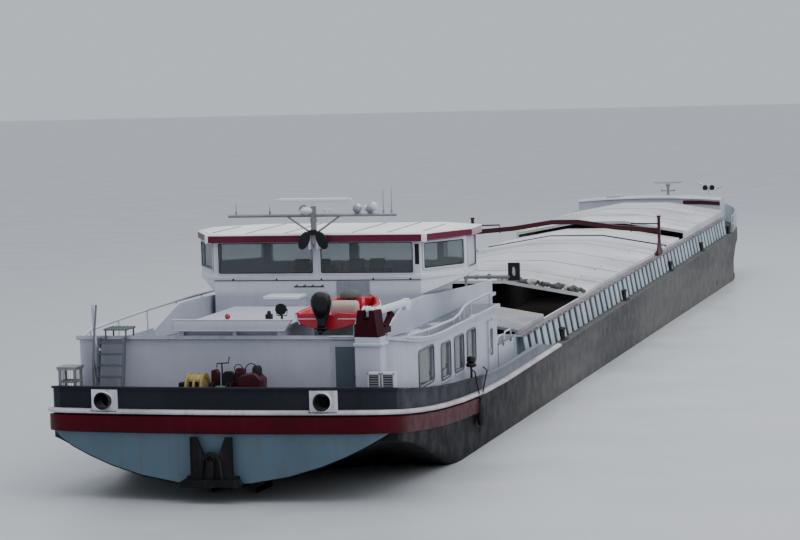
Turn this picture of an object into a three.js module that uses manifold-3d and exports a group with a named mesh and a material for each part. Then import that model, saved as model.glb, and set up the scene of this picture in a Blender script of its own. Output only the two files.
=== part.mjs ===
// Motor cargo barge, 85 m by 9.6 m, as a 1:10 scale model afloat on its flat bottom.
// Everything is drawn in metres of the ship: x forward from the transom, y to port, z up from the flat keel.
// The group at the end turns metres of the ship into millimetres of the model.
import * as THREE from 'three';
import { mergeVertices } from 'three/addons/utils/BufferGeometryUtils.js';
import Module from 'manifold-3d';

// Driving dimensions
const millimetresPerMetre = 100;
const gap = 0.003;
const hullLength = 85;
const anchorReach = 0.35;
const halfBeam = 4.8;
const sideDepth = 2.95;
const sheerEnd = 14;
const sternSheer = 0.98;
const bowSheerStart = 74;
const bowSheer = 0.45;
const bilgeRadius = 0.5;
const knuckleDepth = 0.52;
const beltWidth = 0.46;
const beltThickness = 0.1;
const beltEnd = 10.3;
const sternRunEnd = 11.35;
const transomArcRadius = 8.67;
const transomArcBottom = 2.08;
const transomCrown = 0.3;
const transomHalf = 4.0;
const cornerLength = 0.9;
const bowStart = 76;
const holdAft = 19.5;
const holdFore = 76;
const holdHalf = 4.05;
const tankTop = 0.55;
const coamingTop = 3.85;
const coamingPlate = 0.08;
const ledgeHalf = 4.38;
const hullJoints = [18, 76.3];
const stiffenerPitch = 2.2;
const coverLength = 4.55;
const stackedLength = 5.05;
const coverHalf = 4.2;
const coverRise = 0.5;
const stackedFrom = 60;
const stackRise = 0.19;
const roofZ = 5.18;
const wheelhouseRoofZ = 7.86;

// Helpers for solids
const wasm = await Module();
wasm.setup();

function toSolid(geometry) {
  const bare = geometry.clone();
  for (const name of Object.keys(bare.attributes)) {
    if (name !== 'position') bare.deleteAttribute(name);
  }
  const merged = mergeVertices(bare, 1e-5);
  return new wasm.Manifold(new wasm.Mesh({
    numProp: 3,
    vertProperties: merged.attributes.position.array,
    triVerts: new Uint32Array(merged.index.array),
  }));
}

function toGeometry(solid) {
  const mesh = solid.getMesh();
  const geometry = new THREE.BufferGeometry();
  geometry.setAttribute('position', new THREE.BufferAttribute(mesh.vertProperties.slice(), 3));
  geometry.setIndex(new THREE.BufferAttribute(mesh.triVerts.slice(), 1));
  return geometry;
}

function cut(geometry, ...tools) {
  return toGeometry(tools.reduce((solid, tool) => solid.subtract(toSolid(tool)), toSolid(geometry)));
}

function fuse(first, ...others) {
  return toGeometry(others.reduce((solid, other) => solid.add(toSolid(other)), toSolid(first)));
}

function common(first, second) {
  return toGeometry(toSolid(first).intersect(toSolid(second)));
}

function box(x0, x1, y0, y1, z0, z1) {
  const geometry = new THREE.BoxGeometry(x1 - x0, y1 - y0, z1 - z0);
  return geometry.translate((x0 + x1) / 2, (y0 + y1) / 2, (z0 + z1) / 2);
}

// A flat outline pushed along one axis. The outline is [y, z] for x, [x, z] for y and [x, y] for z.
function prism(axis, outline, from, to) {
  const shape = new THREE.Shape(outline.map(([u, v]) => new THREE.Vector2(u, v)));
  const geometry = new THREE.ExtrudeGeometry(shape, { depth: to - from, bevelEnabled: false });
  geometry.translate(0, 0, axis === 'y' ? -to : from);
  const x = new THREE.Vector3(1, 0, 0);
  const y = new THREE.Vector3(0, 1, 0);
  const z = new THREE.Vector3(0, 0, 1);
  const basis = { x: [y, z, x], y: [x, z, y.clone().negate()], z: [x, y, z] }[axis];
  return geometry.applyMatrix4(new THREE.Matrix4().makeBasis(...basis));
}

// A round bar between two points, with its two radii
function bar(from, to, radius, sides = 12, radiusEnd = radius) {
  const a = new THREE.Vector3(...from);
  const b = new THREE.Vector3(...to);
  const geometry = new THREE.CylinderGeometry(radiusEnd, radius, a.distanceTo(b), sides);
  const turn = new THREE.Quaternion().setFromUnitVectors(
    new THREE.Vector3(0, 1, 0), b.clone().sub(a).normalize());
  geometry.applyQuaternion(turn);
  const middle = a.add(b).multiplyScalar(0.5);
  return geometry.translate(middle.x, middle.y, middle.z);
}

// A round bar bent through a list of points
function bentBar(points, radius, sides = 8) {
  const bars = [];
  for (let i = 0; i + 1 < points.length; i += 1) bars.push(bar(points[i], points[i + 1], radius, sides));
  for (const point of points.slice(1, -1)) {
    bars.push(new THREE.SphereGeometry(radius * 1.02, sides, 6).translate(...point));
  }
  return fuse(...bars);
}

// A profile of [radius, height] turned about an axis through the origin
function turned(profile, axis = 'z', sides = 24) {
  const geometry = new THREE.LatheGeometry(profile.map(([r, h]) => new THREE.Vector2(r, h)), sides);
  if (axis === 'z') geometry.rotateX(Math.PI / 2);
  if (axis === 'x') geometry.rotateZ(-Math.PI / 2);
  return geometry;
}

// Closed rings of points skinned in order, with a cap made of the given index triples at each end
function skin(rings, capTriples) {
  const count = rings[0].length;
  const index = [];
  for (let r = 0; r + 1 < rings.length; r += 1) {
    for (let i = 0; i < count; i += 1) {
      const j = (i + 1) % count;
      const a = r * count + i;
      const b = r * count + j;
      index.push(a, b, b + count, a, b + count, a + count);
    }
  }
  const last = (rings.length - 1) * count;
  for (const [a, b, c] of capTriples) {
    index.push(c, b, a, last + a, last + b, last + c);
  }
  const geometry = new THREE.BufferGeometry();
  geometry.setAttribute('position', new THREE.Float32BufferAttribute(rings.flat(2), 3));
  geometry.setIndex(index);
  return outward(geometry);
}

// Turns the faces of a closed geometry outward
function outward(geometry) {
  const position = geometry.attributes.position;
  const index = Array.from(geometry.index.array);
  const [a, b, c] = [new THREE.Vector3(), new THREE.Vector3(), new THREE.Vector3()];
  let volume = 0;
  for (let i = 0; i < index.length; i += 3) {
    a.fromBufferAttribute(position, index[i]);
    b.fromBufferAttribute(position, index[i + 1]);
    c.fromBufferAttribute(position, index[i + 2]);
    volume += a.dot(b.cross(c));
  }
  if (volume < 0) {
    for (let i = 0; i < index.length; i += 3) [index[i], index[i + 1]] = [index[i + 1], index[i]];
    geometry.setIndex(index);
  }
  return geometry;
}

// A flat profile of [outward, up] points carried along a level path of [x, y, z, outwardX, outwardY]
function sweep(path, profileAt) {
  const ringAt = ([x, y, z, nx, ny], i) => profileAt(i).map(([u, v]) => [x + nx * u, y + ny * u, z + v]);
  const rings = path.map(ringAt);
  const flat = profileAt(0).map(([u, v]) => new THREE.Vector2(u, v));
  return skin(rings, THREE.ShapeUtils.triangulateShape(flat, []));
}

// Hull lines
function deckZ(x) {
  const aft = Math.max(0, (sheerEnd - x) / sheerEnd);
  const fore = Math.max(0, (x - bowSheerStart) / (hullLength - bowSheerStart));
  return sideDepth + sternSheer * aft ** 1.8 + bowSheer * fore ** 2;
}

function bowTaper(x) {
  return Math.max(0, Math.min(1, (x - bowStart) / (hullLength - bowStart)));
}

function deckHalf(x) {
  if (x < cornerLength) {
    return transomHalf + (halfBeam - transomHalf) * Math.sqrt(1 - (1 - x / cornerLength) ** 2);
  }
  return Math.max(0.55, halfBeam * (1 - bowTaper(x) ** 2.6) ** (1 / 2.2));
}

// The transom is rounded in plan, so points near the middle line lie further aft
function crowned(x, y) {
  return x + transomCrown * (Math.abs(y) / halfBeam) ** 2 * Math.max(0, 1 - x / 5);
}

const across = [0, 0.25, 0.5, 0.72, 0.88, 1];
const sideSteps = [0.25, 0.5, 0.75];

// Port half of one frame, from the middle of the bottom round to the middle of the deck, as [y, z]
function halfFrame(x) {
  const half = deckHalf(x);
  const top = deckZ(x);
  const knuckle = (x < sheerEnd ? top : sideDepth) - knuckleDepth;
  const run = Math.min(1, x / sternRunEnd) ** 1.9;
  const arc = (y) => Math.min(knuckle - 0.12,
    transomArcBottom + transomArcRadius - Math.sqrt(transomArcRadius ** 2 - y ** 2));
  const taper = bowTaper(x);
  const rise = 2.3 * Math.max(0, (x - 79.5) / (hullLength - 79.5)) ** 2.2;
  const points = [];
  const place = (sternPoint, midPoint) => {
    const lift = midPoint[1] / knuckle;
    const narrow = (half / halfBeam) * (1 - 0.45 * taper * (1 - lift));
    const mid = x > bowStart ? [midPoint[0] * narrow, rise + midPoint[1] * (1 - rise / knuckle)] : midPoint;
    points.push([sternPoint[0] * (1 - run) + mid[0] * run, sternPoint[1] * (1 - run) + mid[1] * run]);
  };
  for (const f of across) place([half * f, arc(half * f)], [(halfBeam - bilgeRadius) * f, 0]);
  sideSteps.forEach((f, i) => {
    const angle = (Math.PI / 2) * ((i + 1) / sideSteps.length);
    place([half, arc(half) + (knuckle - arc(half)) * f],
      [halfBeam - bilgeRadius + bilgeRadius * Math.sin(angle), bilgeRadius * (1 - Math.cos(angle))]);
  });
  place([half, knuckle], [halfBeam, knuckle]);
  for (const f of across.slice().reverse()) points.push([half * f, top]);
  return points;
}

const frameStations = [0, 0.1, 0.3, 0.6, 1, 2, 3, 4, 5, 6, 7, 8, 9, 10, sternRunEnd, sheerEnd, 18,
  74, 76, 77.5, 79, 80.5, 82, 83.2, 84.2, 84.8, 85];

function hullShell() {
  const rings = frameStations.map((x) => {
    const port = halfFrame(x);
    const starboard = port.slice(1, -1).reverse().map(([y, z]) => [-y, z]);
    return [...port, ...starboard].map(([y, z]) => [crowned(x, y), y, z]);
  });
  const ringCount = rings[0].length;
  const last = halfFrame(0).length - 1;
  const columns = across.length - 1;
  const half = [];
  for (let k = 0; k < columns - 1; k += 1) {
    half.push([k, k + 1, last - k - 1], [k, last - k - 1, last - k]);
  }
  for (let k = columns - 1; k < last - columns; k += 1) half.push([k, k + 1, last - columns + 1]);
  const mirrored = half.map((triple) => triple.map((i) => (ringCount - i) % ringCount).reverse());
  return skin(rings, [...half, ...mirrored]);
}

// Height of the deck's flat facets between the frames
function deckLine(x) {
  const i = Math.max(1, frameStations.findIndex((station) => station >= x));
  const [x0, x1] = [frameStations[i - 1], frameStations[i]];
  return deckZ(x0) + (deckZ(x1) - deckZ(x0)) * ((x - x0) / (x1 - x0));
}

// Cuts a piece off where it would sink into the deck
const raisedHull = hullShell().translate(0, 0, gap);

function seat(geometry) {
  return cut(geometry, raisedHull);
}

// Plan curve of the stern from port round to starboard, as [x, y, z, outwardX, outwardY]
function sternPath(foreX, raise) {
  const port = [];
  const stations = [20.3, 20, 14, 11, 8, 6, 4.5, 3, 2, 1, 0.6, 0.3, 0.1, 0].filter((x) => x < foreX);
  for (const x of [foreX, ...stations]) port.push([x, deckHalf(x)]);
  for (const f of [0.88, 0.72, 0.5, 0.25, 0]) port.push([0, transomHalf * f]);
  const starboard = port.slice(0, -1).reverse().map(([x, y]) => [x, -y]);
  const line = [...port, ...starboard];
  const placed = line.map(([x, y]) => [crowned(x, y), y, deckZ(x) + raise]);
  return placed.map(([x, y, z], i) => {
    const before = placed[Math.max(0, i - 1)];
    const after = placed[Math.min(placed.length - 1, i + 1)];
    const along = new THREE.Vector2(after[0] - before[0], after[1] - before[1]).normalize();
    return [x, y, z, along.y, -along.x];
  });
}

// Pieces of the hull
const propX = 4.05;
const propZ = 0.86;
const propRadius = 0.69;
const nozzleInner = 0.745;
const rudderX = 2.7;
const rudderY = 0.62;
const rudderTrunkZ = 1.9;
const engineGap = 0.02;
const engine = { x0: 10, x1: 13.2, half: 0.6, foot: 1.0, top: 2.9 };

function hull() {
  const skeg = prism('z', [[4.7, 0.16], [4.7, -0.16], [8, -0.5], [12, -0.5], [12, 0.5], [8, 0.5]].reverse(),
    0, 2.1);
  const trunks = [rudderY, -rudderY].map((y) => bar([rudderX, y, rudderTrunkZ], [rudderX, y, 2.4], 0.16));
  const hold = box(holdAft, holdFore, -holdHalf, holdHalf, tankTop, 5);
  const engineSide = engine.half + engineGap;
  const pocket = box(engine.x0 - engineGap, engine.x1 + engineGap, -engineSide, engineSide, engine.foot, 5);
  return cut(fuse(hullShell(), belt(), skeg, ...trunks), hold, pocket);
}

// Proud band round the stern under the rub rail, faired into the sides at its ends
function belt() {
  const path = sternPath(beltEnd, 0);
  return sweep(path, (i) => {
    const reach = i === 0 || i === path.length - 1 ? 0.002 : beltThickness;
    return [[-0.05, -beltWidth], [reach, 0.02 - beltWidth], [reach, -0.02], [-0.05, 0]];
  });
}

// One length of the hull between two of its joints
function hullSection(whole, aft, fore) {
  return common(whole, box(aft, fore, -6, 6, -1, 6));
}

const bulwarkEnd = 23.2;
const fairleads = [['fairlead_port', 3.0], ['fairlead_starboard', -3.0]];
const fairleadZ = 4.32;
const fairleadHalf = 0.37;

function rubRail() {
  const radius = 0.06;
  const reach = 0.17;
  const shoulder = reach - 0.3 * radius;
  const profile = [[gap, -radius], [reach - radius, -radius], [shoulder, -0.7 * radius], [reach, 0],
    [shoulder, 0.7 * radius], [reach - radius, radius], [gap, radius]];
  const rail = sweep(sternPath(bulwarkEnd, 0.1), () => profile);
  const free = fairleadHalf + 0.01;
  const notch = fairleads.map(([, y]) => box(-0.5, 0.6, y - free, y + free, fairleadZ - 0.3, 5));
  return cut(rail, ...notch);
}

function aftBulwark() {
  const path = sternPath(bulwarkEnd, gap);
  const height = (x) => 0.5 + 0.22 * Math.max(0, 1 - x / sheerEnd) - (x > 20 ? (x - 20) * 0.12 : 0);
  const wall = sweep(path, (i) => {
    const top = height(path[i][0]);
    const cap = path[i][0] > 20.1 ? 0.001 : 0.05;
    return [[-0.09, 0], [0, 0], [0, top - 0.04], [cap, top - 0.04], [cap, top], [-0.09, top]];
  });
  const holes = fairleads.map(([, y]) => bar([-0.4, y, fairleadZ], [0.6, y, fairleadZ], 0.27, 20));
  return cut(wall, ...holes);
}

function fairlead() {
  const outer = 0.25;
  const inner = 0.21;
  const plate = box(-0.05, 0, -fairleadHalf, fairleadHalf, -0.282, 0.282);
  const pipe = bar([-0.24, 0, 0], [0.22, 0, 0], outer, 24);
  return cut(fuse(plate, pipe), bar([-0.4, 0, 0], [0.4, 0, 0], inner, 24));
}

// Stern anchor hung flat on the transom: two flukes joined by an arched crown, and its shank
function sternAnchor() {
  const half = [[0.81, 2.1], [0.81, 2.2], [0.57, 2.42], [0.57, 3.4], [0.39, 3.4], [0.21, 2.94], [0.17, 2.9],
    [0.1, 2.97], [0, 2.99]];
  const outline = [...half, ...half.slice(0, -1).reverse().map(([y, z]) => [-y, z])];
  const flukes = prism('x', outline, -0.24, -0.12);
  const crown = prism('x', [[-0.81, 2.1], [0.81, 2.1], [0.74, 2.3], [-0.74, 2.3]], -anchorReach, -0.1);
  const back = box(-0.2, 0.2, -0.7, 0.7, 2.14, 2.36);
  const shank = box(-0.3, 0.2, -0.08, 0.08, 2.2, 2.8);
  return cut(fuse(flukes, crown, back, shank), hullShell().translate(-gap, 0, 0));
}

function propeller() {
  const hubProfile = [[0, -0.3], [0.07, -0.27], [0.13, -0.1], [0.15, 0.2], [0.12, 0.647], [0, 0.647]];
  const hub = turned(hubProfile, 'x', 16);
  const blades = [0, 1, 2, 3].map((i) => {
    const outline = [[0.05, -0.06], [0.25, -0.2], [0.5, -0.3], [0.66, -0.16], [propRadius, 0.02],
      [0.62, 0.2], [0.45, 0.27], [0.2, 0.17], [0.05, 0.07]];
    const blade = prism('z', outline, -0.02, 0.02);
    blade.rotateX(0.5);
    blade.rotateY(-Math.PI / 2);
    return blade.rotateX((Math.PI / 2) * i);
  });
  return fuse(hub, ...blades);
}

function nozzle(hullGeometry) {
  const ring = turned([[nozzleInner, -0.35], [nozzleInner + 0.03, -0.36], [0.81, -0.3], [0.84, 0.1],
    [0.8, 0.38], [nozzleInner + 0.02, 0.42], [nozzleInner, 0.36], [nozzleInner, -0.35]], 'x', 32);
  ring.translate(propX, 0, propZ);
  const strut = box(propX - 0.25, propX + 0.3, -0.2, 0.2, propZ + 0.78, 2.0);
  return cut(fuse(ring, strut), hullGeometry.clone().translate(0, 0, -gap));
}

function rudder() {
  const blade = prism('z', [[0.3, 0], [0.22, 0.06], [-0.2, 0.07], [-1.1, 0.02], [-1.1, -0.02], [-0.2, -0.07],
    [0.22, -0.06]].reverse(), 0.22, 1.72);
  return fuse(blade, bar([0, 0, 1.6], [0, 0, rudderTrunkZ - gap], 0.09));
}

function engineBlock() {
  return box(engine.x0, engine.x1, -engine.half, engine.half, engine.foot + gap, engine.top);
}

// Hold, hatches and gantry
function hatchCoaming() {
  const outer = holdHalf + coamingPlate;
  const foot = sideDepth + gap;
  const wall = cut(box(holdAft - coamingPlate, holdFore + coamingPlate, -outer, outer, foot, coamingTop),
    box(holdAft, holdFore, -holdHalf, holdHalf, foot - 1, coamingTop + 1));
  const ledges = [[outer - 0.02, ledgeHalf], [-ledgeHalf, 0.02 - outer]].map(([y0, y1]) => box(
    holdAft - coamingPlate, holdFore + coamingPlate, y0, y1, coamingTop - 0.07, coamingTop));
  const stiffeners = [];
  const count = Math.floor((holdFore - holdAft) / stiffenerPitch);
  for (let i = 0; i <= count; i += 1) {
    const x = holdAft + 0.3 + i * stiffenerPitch;
    for (const side of [1, -1]) {
      const outline = [[outer - 0.02, foot], [outer + 0.32, foot], [outer + 0.18, coamingTop - 0.06],
        [outer - 0.02, coamingTop - 0.06]].map(([y, z]) => [y * side, z]);
      stiffeners.push(prism('x', side > 0 ? outline : outline.reverse(), x, x + 0.09));
    }
  }
  return seat(fuse(wall, ...ledges, ...stiffeners));
}

// Aluminium cover with sloped sides; forward of the open bay they lie two deep, so taller and longer
function hatchCover(stacked) {
  const skinThickness = 0.07;
  const foot = coamingTop + gap;
  const edge = foot + 0.14 + (stacked ? stackRise : 0);
  const flat = 1.25;
  const outer = [[-coverHalf, foot], [-coverHalf, edge], [-flat, edge + coverRise], [flat, edge + coverRise],
    [coverHalf, edge], [coverHalf, foot]];
  const inner = [[coverHalf - 0.1, foot], [coverHalf - 0.1, edge - skinThickness],
    [flat, edge + coverRise - skinThickness], [-flat, edge + coverRise - skinThickness],
    [-coverHalf + 0.1, edge - skinThickness], [-coverHalf + 0.1, foot]];
  const length = stacked ? stackedLength : coverLength;
  return prism('x', [...outer, ...inner].reverse(), 0, length - 2 * gap);
}

const gantryX = 51.35;
const gantryPostTop = 5.58;

function coverGantry() {
  const wheelFoot = coamingTop + gap;
  const legs = [1, -1].flatMap((side) => {
    const y = side * (coverHalf + 0.11);
    const post = box(-0.08, 0.08, y - 0.06, y + 0.06, wheelFoot + 0.2, gantryPostTop);
    const foot = prism('y', [[-0.7, wheelFoot + 0.1], [0.7, wheelFoot + 0.1], [0.1, wheelFoot + 0.75],
      [-0.1, wheelFoot + 0.75]], y - 0.04, y + 0.04);
    const axle = wheelFoot + 0.11;
    const wheels = [-0.6, 0.6].map((x) => bar([x, y - 0.04, axle], [x, y + 0.04, axle], 0.11, 14));
    return [post, foot, ...wheels];
  });
  const line = [[coverHalf + 0.15, 4.83], [2.4, 5.0], [0.6, 5.27], [-0.6, 5.27], [-2.4, 5.0],
    [-coverHalf - 0.15, 4.83]];
  const beam = [...line.slice().reverse(), ...line.map(([y, z]) => [y, z + 0.2])];
  return fuse(...legs, prism('x', beam, -0.09, 0.09));
}

// Deckhouse
const house = { x0: 2.2, x1: 15.46, foreX: 19.3, foreHalf: 3.4, wall: 0.1 };
const houseSides = { port: { half: 4.55, corner: 0.25 }, starboard: { half: 4.35, corner: 0.9 } };

function roofEdgeZ(x) {
  return roofZ + 0.5 * Math.max(0, (7.5 - x) / 5.3) ** 1.8;
}

// Plan of the deckhouse, wide aft with rounded corners and narrow forward, grown or shrunk all round
function housePlan(grow) {
  const { x0, x1, foreX, foreHalf } = house;
  const outlineOf = (side, { half, corner }) => {
    const line = [[foreX + grow, side * (foreHalf + grow)], [x1 + grow, side * (foreHalf + grow)],
      [x1 + grow, side * (half + grow)]];
    for (let i = 0; i <= 6; i += 1) {
      const angle = (Math.PI / 2) * (i / 6);
      line.push([x0 + corner - (corner + grow) * Math.sin(angle),
        side * (half - corner + (corner + grow) * Math.cos(angle))]);
    }
    return line;
  };
  return [...outlineOf(1, houseSides.port), ...outlineOf(-1, houseSides.starboard).reverse()];
}

// The space under the swept roof line, moved down or up
function belowRoof(shift, depth = 5) {
  const stations = [1.5, 2.6, 3.4, 4.3, 5.4, 6.5, 7.5, 20];
  const line = stations.map((x) => [x, roofEdgeZ(x) + shift]);
  return prism('y', [...line, ...line.slice().reverse().map(([x, z]) => [x, z - depth])].reverse(), -6, 6);
}

const sideWindows = [[5.0, 1.75], [7.7, 1.15], [9.4, 1.2], [11.1, 1.15]];
const sideDoorX = 14.0;
const aftDoorY = -3.05;
const doorWidth = 0.64;
const doorStandoff = 0.033;
const aftDoorFoot = 3.86;
const sideDoorFoot = sideDepth + 0.1;
const doorHeight = 1.76;

function deckhouse() {
  const { x0, x1, foreHalf, wall } = house;
  const half = houseSides.starboard.half;
  const port = houseSides.port.half;
  const outside = common(prism('z', housePlan(0), sideDepth, 7), belowRoof(-gap));
  const inside = prism('z', housePlan(-wall), 1, 8);
  const openings = [];
  for (const [x, width] of sideWindows) {
    const foot = roofEdgeZ(x) - 1.3;
    openings.push(box(x, x + width, -half - 1, -half + 1, foot, foot + 1.0));
    openings.push(box(x, x + width, port - 1, port + 1, foot, foot + 1.0));
  }
  openings.push(box(sideDoorX, sideDoorX + doorWidth, -half - 1, -half + 1,
    sideDoorFoot, sideDoorFoot + doorHeight));
  openings.push(box(x0 - 1, x0 + 1, aftDoorY - doorWidth / 2, aftDoorY + doorWidth / 2,
    aftDoorFoot, aftDoorFoot + doorHeight));
  const locker = box(x1 + 0.2, x1 + 2.5, -half, 0.05 - foreHalf, sideDepth, 3.95);
  return seat(fuse(cut(outside, inside, ...openings), locker));
}

function deckhouseRoof() {
  const slab = common(prism('z', housePlan(0.1), 4, 7), belowRoof(0.1, 0.1));
  const locker = box(7.5, 8.3, -0.2, 0.82, roofZ + 0.05, roofZ + 1.12);
  return fuse(slab, locker);
}

// Solid screen on the roof each side of the wheelhouse, highest at its aft end
function roofRail(side) {
  const line = [[5.2, 0.22], [7.4, 0.87], [9.5, 0.84], [12.6, 0.7], [15.3, 0.56], [19.2, 0.4]];
  const outline = [...line.map(([x]) => [x, roofEdgeZ(x) + 0.1 + gap]),
    ...line.slice().reverse().map(([x, rise]) => [x, roofEdgeZ(x) + 0.1 + rise])];
  const y = side * house.foreHalf;
  const panel = prism('y', outline, y - 0.03, y + 0.03);
  return cut(panel, belowRoof(0.1 + gap));
}

// Raised platform on the aft roof with its board along the aft edge
const platformDeckZ = 6.04;

function roofPlatform() {
  const z = platformDeckZ;
  const boardOutline = [[1.73, z + 0.2], [1.73, z - 0.1], [-1.45, z - 0.1], [-1.66, z + 0.2]];
  const board = prism('x', boardOutline, 1.98, 2.1);
  const deck = box(2.05, 7.4, -1.38, 1.7, z - 0.07, z);
  const bearers = [-1.25, 0, 1.5].map((y) => box(2.1, 7.4, y - 0.06, y + 0.06, z - 0.8, z - 0.05));
  return cut(fuse(board, deck, ...bearers), belowRoof(0.1 + gap));
}

// A door leaf over its opening, with the hinge line at x = 0 and its outside on the negative y side
function hingedDoor() {
  const leaf = box(0, doorWidth + 0.1, -0.025, 0.025, -0.04, doorHeight + 0.04);
  const hinges = [0.2, 0.85, 1.5].map((z) => bar([0, 0, z], [0, 0, z + 0.14], 0.03, 10));
  const handle = box(doorWidth - 0.06, doorWidth + 0.04, -0.08, -0.02, 0.88, 0.93);
  return fuse(leaf, ...hinges, handle);
}

function slidingDoor() {
  const leaf = box(0, doorWidth + 0.1, -0.025, 0.025, -0.04, doorHeight + 0.04);
  const handle = box(0.06, 0.1, -0.08, -0.02, 0.85, 1.0);
  const runners = [0.08, doorWidth - 0.06].map((x) => box(x, x + 0.08, -0.02, 0.03,
    doorHeight - 0.02, doorHeight + 0.12));
  return fuse(leaf, handle, ...runners);
}

// Wheelhouse
// Half plans from aft forward, at the windows and at the foot
const windowPlan = [[10.2, 3.2], [12, 4.2], [13.4, 4.2], [14.6, 2.9]];
const footPlan = [[10.2, 3.2], [10.6, 3.3], [13.9, 3.3], [14.6, 2.9]];
const wheelhouseFoot = roofZ + 0.1;
const paneFoot = 6.76;
const paneTop = 7.65;

// Both sides of a half plan, grown or shrunk all round
function plan(half, grow) {
  const middleX = 11.8;
  const port = half.map(([x, y]) => [x + Math.sign(x - middleX) * grow, y + grow * 0.9]);
  return [...port.map(([x, y]) => [x, -y]), ...port.slice().reverse()];
}

const mastHingeX = 9.9;
const mastHingeZ = 7.72;
const mastY = -0.05;

// The wheelhouse as a solid, narrow at its foot and wide at its windows
function wheelhouseBody(grow, foot, top) {
  const levels = [[footPlan, foot], [footPlan, 6.1], [windowPlan, 6.5], [windowPlan, top]];
  const rings = levels.map(([half, z]) => plan(half, grow).map(([x, y]) => [x, y, z]));
  const flat = rings[0].map(([x, y]) => new THREE.Vector2(x, y));
  return skin(rings, THREE.ShapeUtils.triangulateShape(flat, []));
}

function wheelhouse() {
  const shell = wheelhouseBody(0, wheelhouseFoot + gap, wheelhouseRoofZ);
  const room = wheelhouseBody(-0.09, wheelhouseFoot - 1, wheelhouseRoofZ + 1);
  const panes = [
    box(9.7, 10.7, 0.11, 3.04, paneFoot, paneTop),
    box(9.7, 10.7, -2.97, -0.16, paneFoot, paneTop),
    box(14.3, 15, 0.15, 2.7, paneFoot, paneTop),
    box(14.3, 15, -2.7, -0.15, paneFoot, paneTop),
  ];
  for (const side of [1, -1]) {
    panes.push(box(12.2, 13.2, side * 4.2 - 0.5, side * 4.2 + 0.5, paneFoot, paneTop));
    for (const [a, b] of [[windowPlan[0], windowPlan[1]], [windowPlan[2], windowPlan[3]]]) {
      const length = Math.hypot(b[0] - a[0], b[1] - a[1]);
      const pane = box(-length / 2 + 0.16, length / 2 - 0.16, -0.4, 0.4, paneFoot + 0.12, paneTop - 0.05);
      pane.rotateZ(Math.atan2(side * (b[1] - a[1]), b[0] - a[0]));
      panes.push(pane.translate((a[0] + b[0]) / 2, (side * (a[1] + b[1])) / 2, 0));
    }
  }
  return fuse(cut(shell, room, ...panes), mastBracket());
}

function wheelhouseRoof() {
  return fuse(prism('z', plan(windowPlan, 0.16), wheelhouseRoofZ + gap, wheelhouseRoofZ + 0.05),
    prism('z', plan(windowPlan, 0.02), wheelhouseRoofZ + 0.04, wheelhouseRoofZ + 0.08));
}

function helmConsole() {
  const foot = wheelhouseFoot + gap;
  const desk = prism('y', [[12.5, foot], [13.4, foot], [13.4, foot + 1.35], [12.9, foot + 1.35],
    [12.4, foot + 1.15], [12.4, foot + 1.0]], -1.5, 1.5);
  return desk;
}

function helmChair() {
  const foot = wheelhouseFoot + gap;
  const x = 11.6;
  const pillar = bar([x, 0, foot], [x, 0, foot + 0.75], 0.08);
  const disc = bar([x, 0, foot], [x, 0, foot + 0.06], 0.3);
  const seatPad = box(x - 0.25, x + 0.3, -0.28, 0.28, foot + 0.7, foot + 0.85);
  const back = box(x - 0.3, x - 0.18, -0.26, 0.26, foot + 0.8, foot + 1.6);
  return fuse(pillar, disc, seatPad, back);
}

// Masts
function mastBracket() {
  const cheeks = [-0.12, 0.12].map((y) => box(-0.12, 0.33, y - 0.03, y + 0.03, -0.22, 0.12));
  return fuse(...cheeks, box(0.235, 0.33, -0.15, 0.15, -0.22, 0.12)).translate(mastHingeX, mastY, mastHingeZ);
}

function radarMast() {
  const post = box(-0.07, 0.07, -0.075, 0.075, -0.06, 1.05);
  const pin = bar([0, gap - 0.09, 0], [0, 0.09 - gap, 0], 0.05, 14);
  const crossbar = bar([0, -2.55, 0.78], [0, 2.65, 0.78], 0.05, 10);
  const braces = [0.85, -0.85].map((y) => bar([0, 0, 0.2], [0, y, 0.78], 0.03, 8));
  const domes = [-1.35, -1.75, 0.3].map((y) => fuse(bar([0, y, 0.78], [0, y, 0.88], 0.04, 8),
    new THREE.SphereGeometry(0.14, 14, 8).translate(0, y, 0.96)));
  return fuse(post, pin, crossbar, ...braces, ...domes);
}

function radarScanner() {
  const arm = prism('x', [[-1.18, 0.1], [1.18, 0.1], [1.16, 0.22], [-1.16, 0.22]], -0.07, 0.07);
  return fuse(bar([0, 0, 0], [0, 0, 0.1], 0.06, 12), arm);
}

// Loading crane at the aft corner of the roof
const crane = { x: 1.8, y: -3.84, foot: 5.82, heading: -0.19 };
const boomPivot = [0.05, 0, 0.6];
const boomRise = 0.03;
const boomLength = 2.3;
const cylinderFoot = [0.85, 0, 0.08];
const cylinderTop = [1.45, 0, 0.57];

function cranePedestal() {
  const column = box(-0.3, 0.3, -0.34, 0.34, 3.5, crane.foot - gap);
  const ledge = box(-0.34, 0.34, -0.4, 0.36, crane.foot - 0.24, crane.foot - 0.16);
  const onDeck = seat(fuse(column, ledge).translate(crane.x, crane.y, 0));
  return cut(onDeck, prism('z', housePlan(0.1 + gap), 1, 8));
}

function craneBase() {
  const post = prism('x', [[-0.32, 0], [0.32, 0], [0.24, 0.7], [-0.24, 0.7]], -0.24, 0.22);
  const slot = box(-1, 1, -0.09, 0.09, 0.44, 1);
  const arm = box(0.1, 0.72, -0.12, 0.12, 0.02, 0.16);
  const ears = [-0.15, 0.15].map((y) => box(0.5, 0.92, y - 0.03, y + 0.03, 0.02, 0.18));
  return fuse(cut(post, slot), arm, box(0.5, 0.7, -0.16, 0.16, 0.02, 0.16), ...ears);
}

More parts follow.
